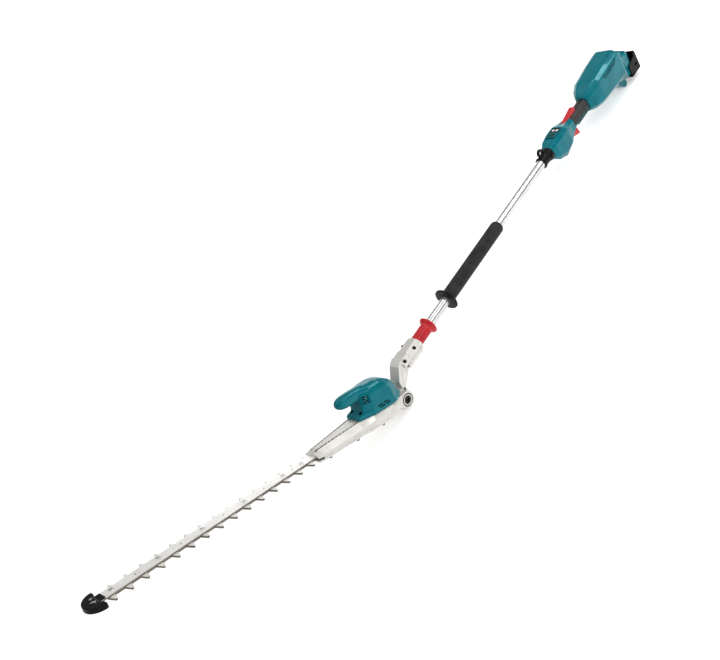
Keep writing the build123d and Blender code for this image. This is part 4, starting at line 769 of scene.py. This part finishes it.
# ---- control panel: teal frame around dark fields
PANEL_STEP = 0.8
panel = copy_of("control_panel")
soften(panel, 0.3, 2, 40)
panel_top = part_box("control_panel")[1].z
for face in panel.data.polygons:
    face.material_index = 1 if face.center.z < panel_top - PANEL_STEP * MM and face.normal.z > 0.5 else 0
dress(panel, "root", [look("teal_plastic"), look("recess_shade_and_dark_inset")], ["control_panel"], 35)

# ---- everything else keeps its CAD shape, with its edges broken
FINISH_OF = {"tip_guard_screws": "bright_screw"}  # where the look isn't that of the slot
for node, obj in nodes.items():
    if obj.hide_render:
        continue  # a visual piece stands for it
    obj.data.materials.clear()
    obj.data.materials.append(look(FINISH_OF.get(node, SLOT_OF[node])))
    weld = obj.modifiers.new("weld", "WELD")
    weld.merge_threshold = 0.002 * MM
    bevel = obj.modifiers.new("bevel", "BEVEL")
    bevel.width = 0.25 * MM
    bevel.segments = 2
    bevel.limit_method = "ANGLE"
    bevel.angle_limit = math.radians(40)
    obj.data.set_sharp_from_angle(angle=math.radians(35))


# ---------------------------------------------------------------- studio
def floor_material():
    material, tree, bsdf = shader("floor")
    shade = tint(tree, spread(tree, field(tree, 3.0), 0.0, 1.0), (0.86, 0.86, 0.86), (0.89, 0.89, 0.89))
    tree.links.new(shade, bsdf.inputs["Base Color"])
    bsdf.inputs["Roughness"].default_value = 0.9
    bsdf.inputs["Specular IOR Level"].default_value = 0.1
    bsdf.inputs["Emission Color"].default_value = (1, 1, 1, 1)
    bsdf.inputs["Emission Strength"].default_value = 0.40
    return material


floor_mesh = bpy.data.meshes.new("floor")
REACH = 60.0
FLOOR_Z = cad_box[0][2] - 0.0005
floor_mesh.from_pydata(
    [(-REACH, -REACH, FLOOR_Z), (REACH, -REACH, FLOOR_Z), (REACH, REACH, FLOOR_Z), (-REACH, REACH, FLOOR_Z)],
    [], [(0, 1, 2, 3)],
)
floor = bpy.data.objects.new("floor", floor_mesh)
floor.data.materials.append(floor_material())
bpy.context.scene.collection.objects.link(floor)

world = bpy.data.worlds.new("studio")
bpy.context.scene.world = world
world.use_nodes = True
sky = world.node_tree
sky.nodes["Background"].inputs["Strength"].default_value = 0.42
sky_coords = add(sky, "ShaderNodeTexCoord")
sky_split = add(sky, "ShaderNodeSeparateXYZ")
sky.links.new(sky_coords.outputs["Generated"], sky_split.inputs["Vector"])
ramp = add(sky, "ShaderNodeValToRGB")
ramp.color_ramp.elements[0].position = 0.0
ramp.color_ramp.elements[0].color = (0.45, 0.45, 0.46, 1)
ramp.color_ramp.elements[1].position = 0.75
ramp.color_ramp.elements[1].color = (1.0, 1.0, 1.0, 1)
sky.links.new(sky_split.outputs["Z"], ramp.inputs["Fac"])
sky.links.new(ramp.outputs["Color"], sky.nodes["Background"].inputs["Color"])

sun = bpy.data.objects.new("sun", bpy.data.lights.new("sun", "SUN"))
sun.data.energy = 1.1
sun.data.angle = math.radians(80)
sun.rotation_euler = Vector((0.15, -0.10, 1.0)).to_track_quat("Z", "Y").to_euler()
bpy.context.scene.collection.objects.link(sun)


def soft_box(name, place, target, size, power):
    """Square lamp that points at target."""
    data = bpy.data.lights.new(name, "AREA")
    data.shape = "RECTANGLE"
    data.size, data.size_y = size
    data.energy = power
    lamp = bpy.data.objects.new(name, data)
    lamp.location = place
    lamp.rotation_euler = (Vector(target) - Vector(place)).to_track_quat("-Z", "Y").to_euler()
    lamp.visible_camera = False
    bpy.context.scene.collection.objects.link(lamp)


soft_box("band", (-1.1, 1.5, 1.43), (-0.25, 0, 0.1), (2.8, 0.22), 20)
soft_box("ridge", (-1.7, 0.34, 1.8), (-0.93, 0, 0.12), (0.12, 1.6), 9)
soft_box("back", (-1.7, -2.3, 0.55), (0.45, 0, 0.2), (2.6, 0.9), 13)
soft_box("edge", (0.15, 2.6, 0.5), (0.35, 0, 0.15), (0.12, 0.8), 5)

camera = bpy.data.objects.new("camera", bpy.data.cameras.new("camera"))
SIDEWAYS = Vector((-0.541, 0.671, -0.507)).normalized()
TOWARD = Vector((0.412, 0.737, 0.536)).normalized()
UPWARD = TOWARD.cross(SIDEWAYS).normalized()
turned_to = Matrix((SIDEWAYS, UPWARD, TOWARD)).transposed().to_4x4()
camera.matrix_world = Matrix.Translation((1.1515, 1.6601, 1.4546)) @ turned_to
camera.data.sensor_width = 36.0
camera.data.lens = 47.81
camera.data.clip_end = 200.0
bpy.context.scene.collection.objects.link(camera)
bpy.context.scene.camera = camera
bpy.context.scene.view_settings.view_transform = "Standard"
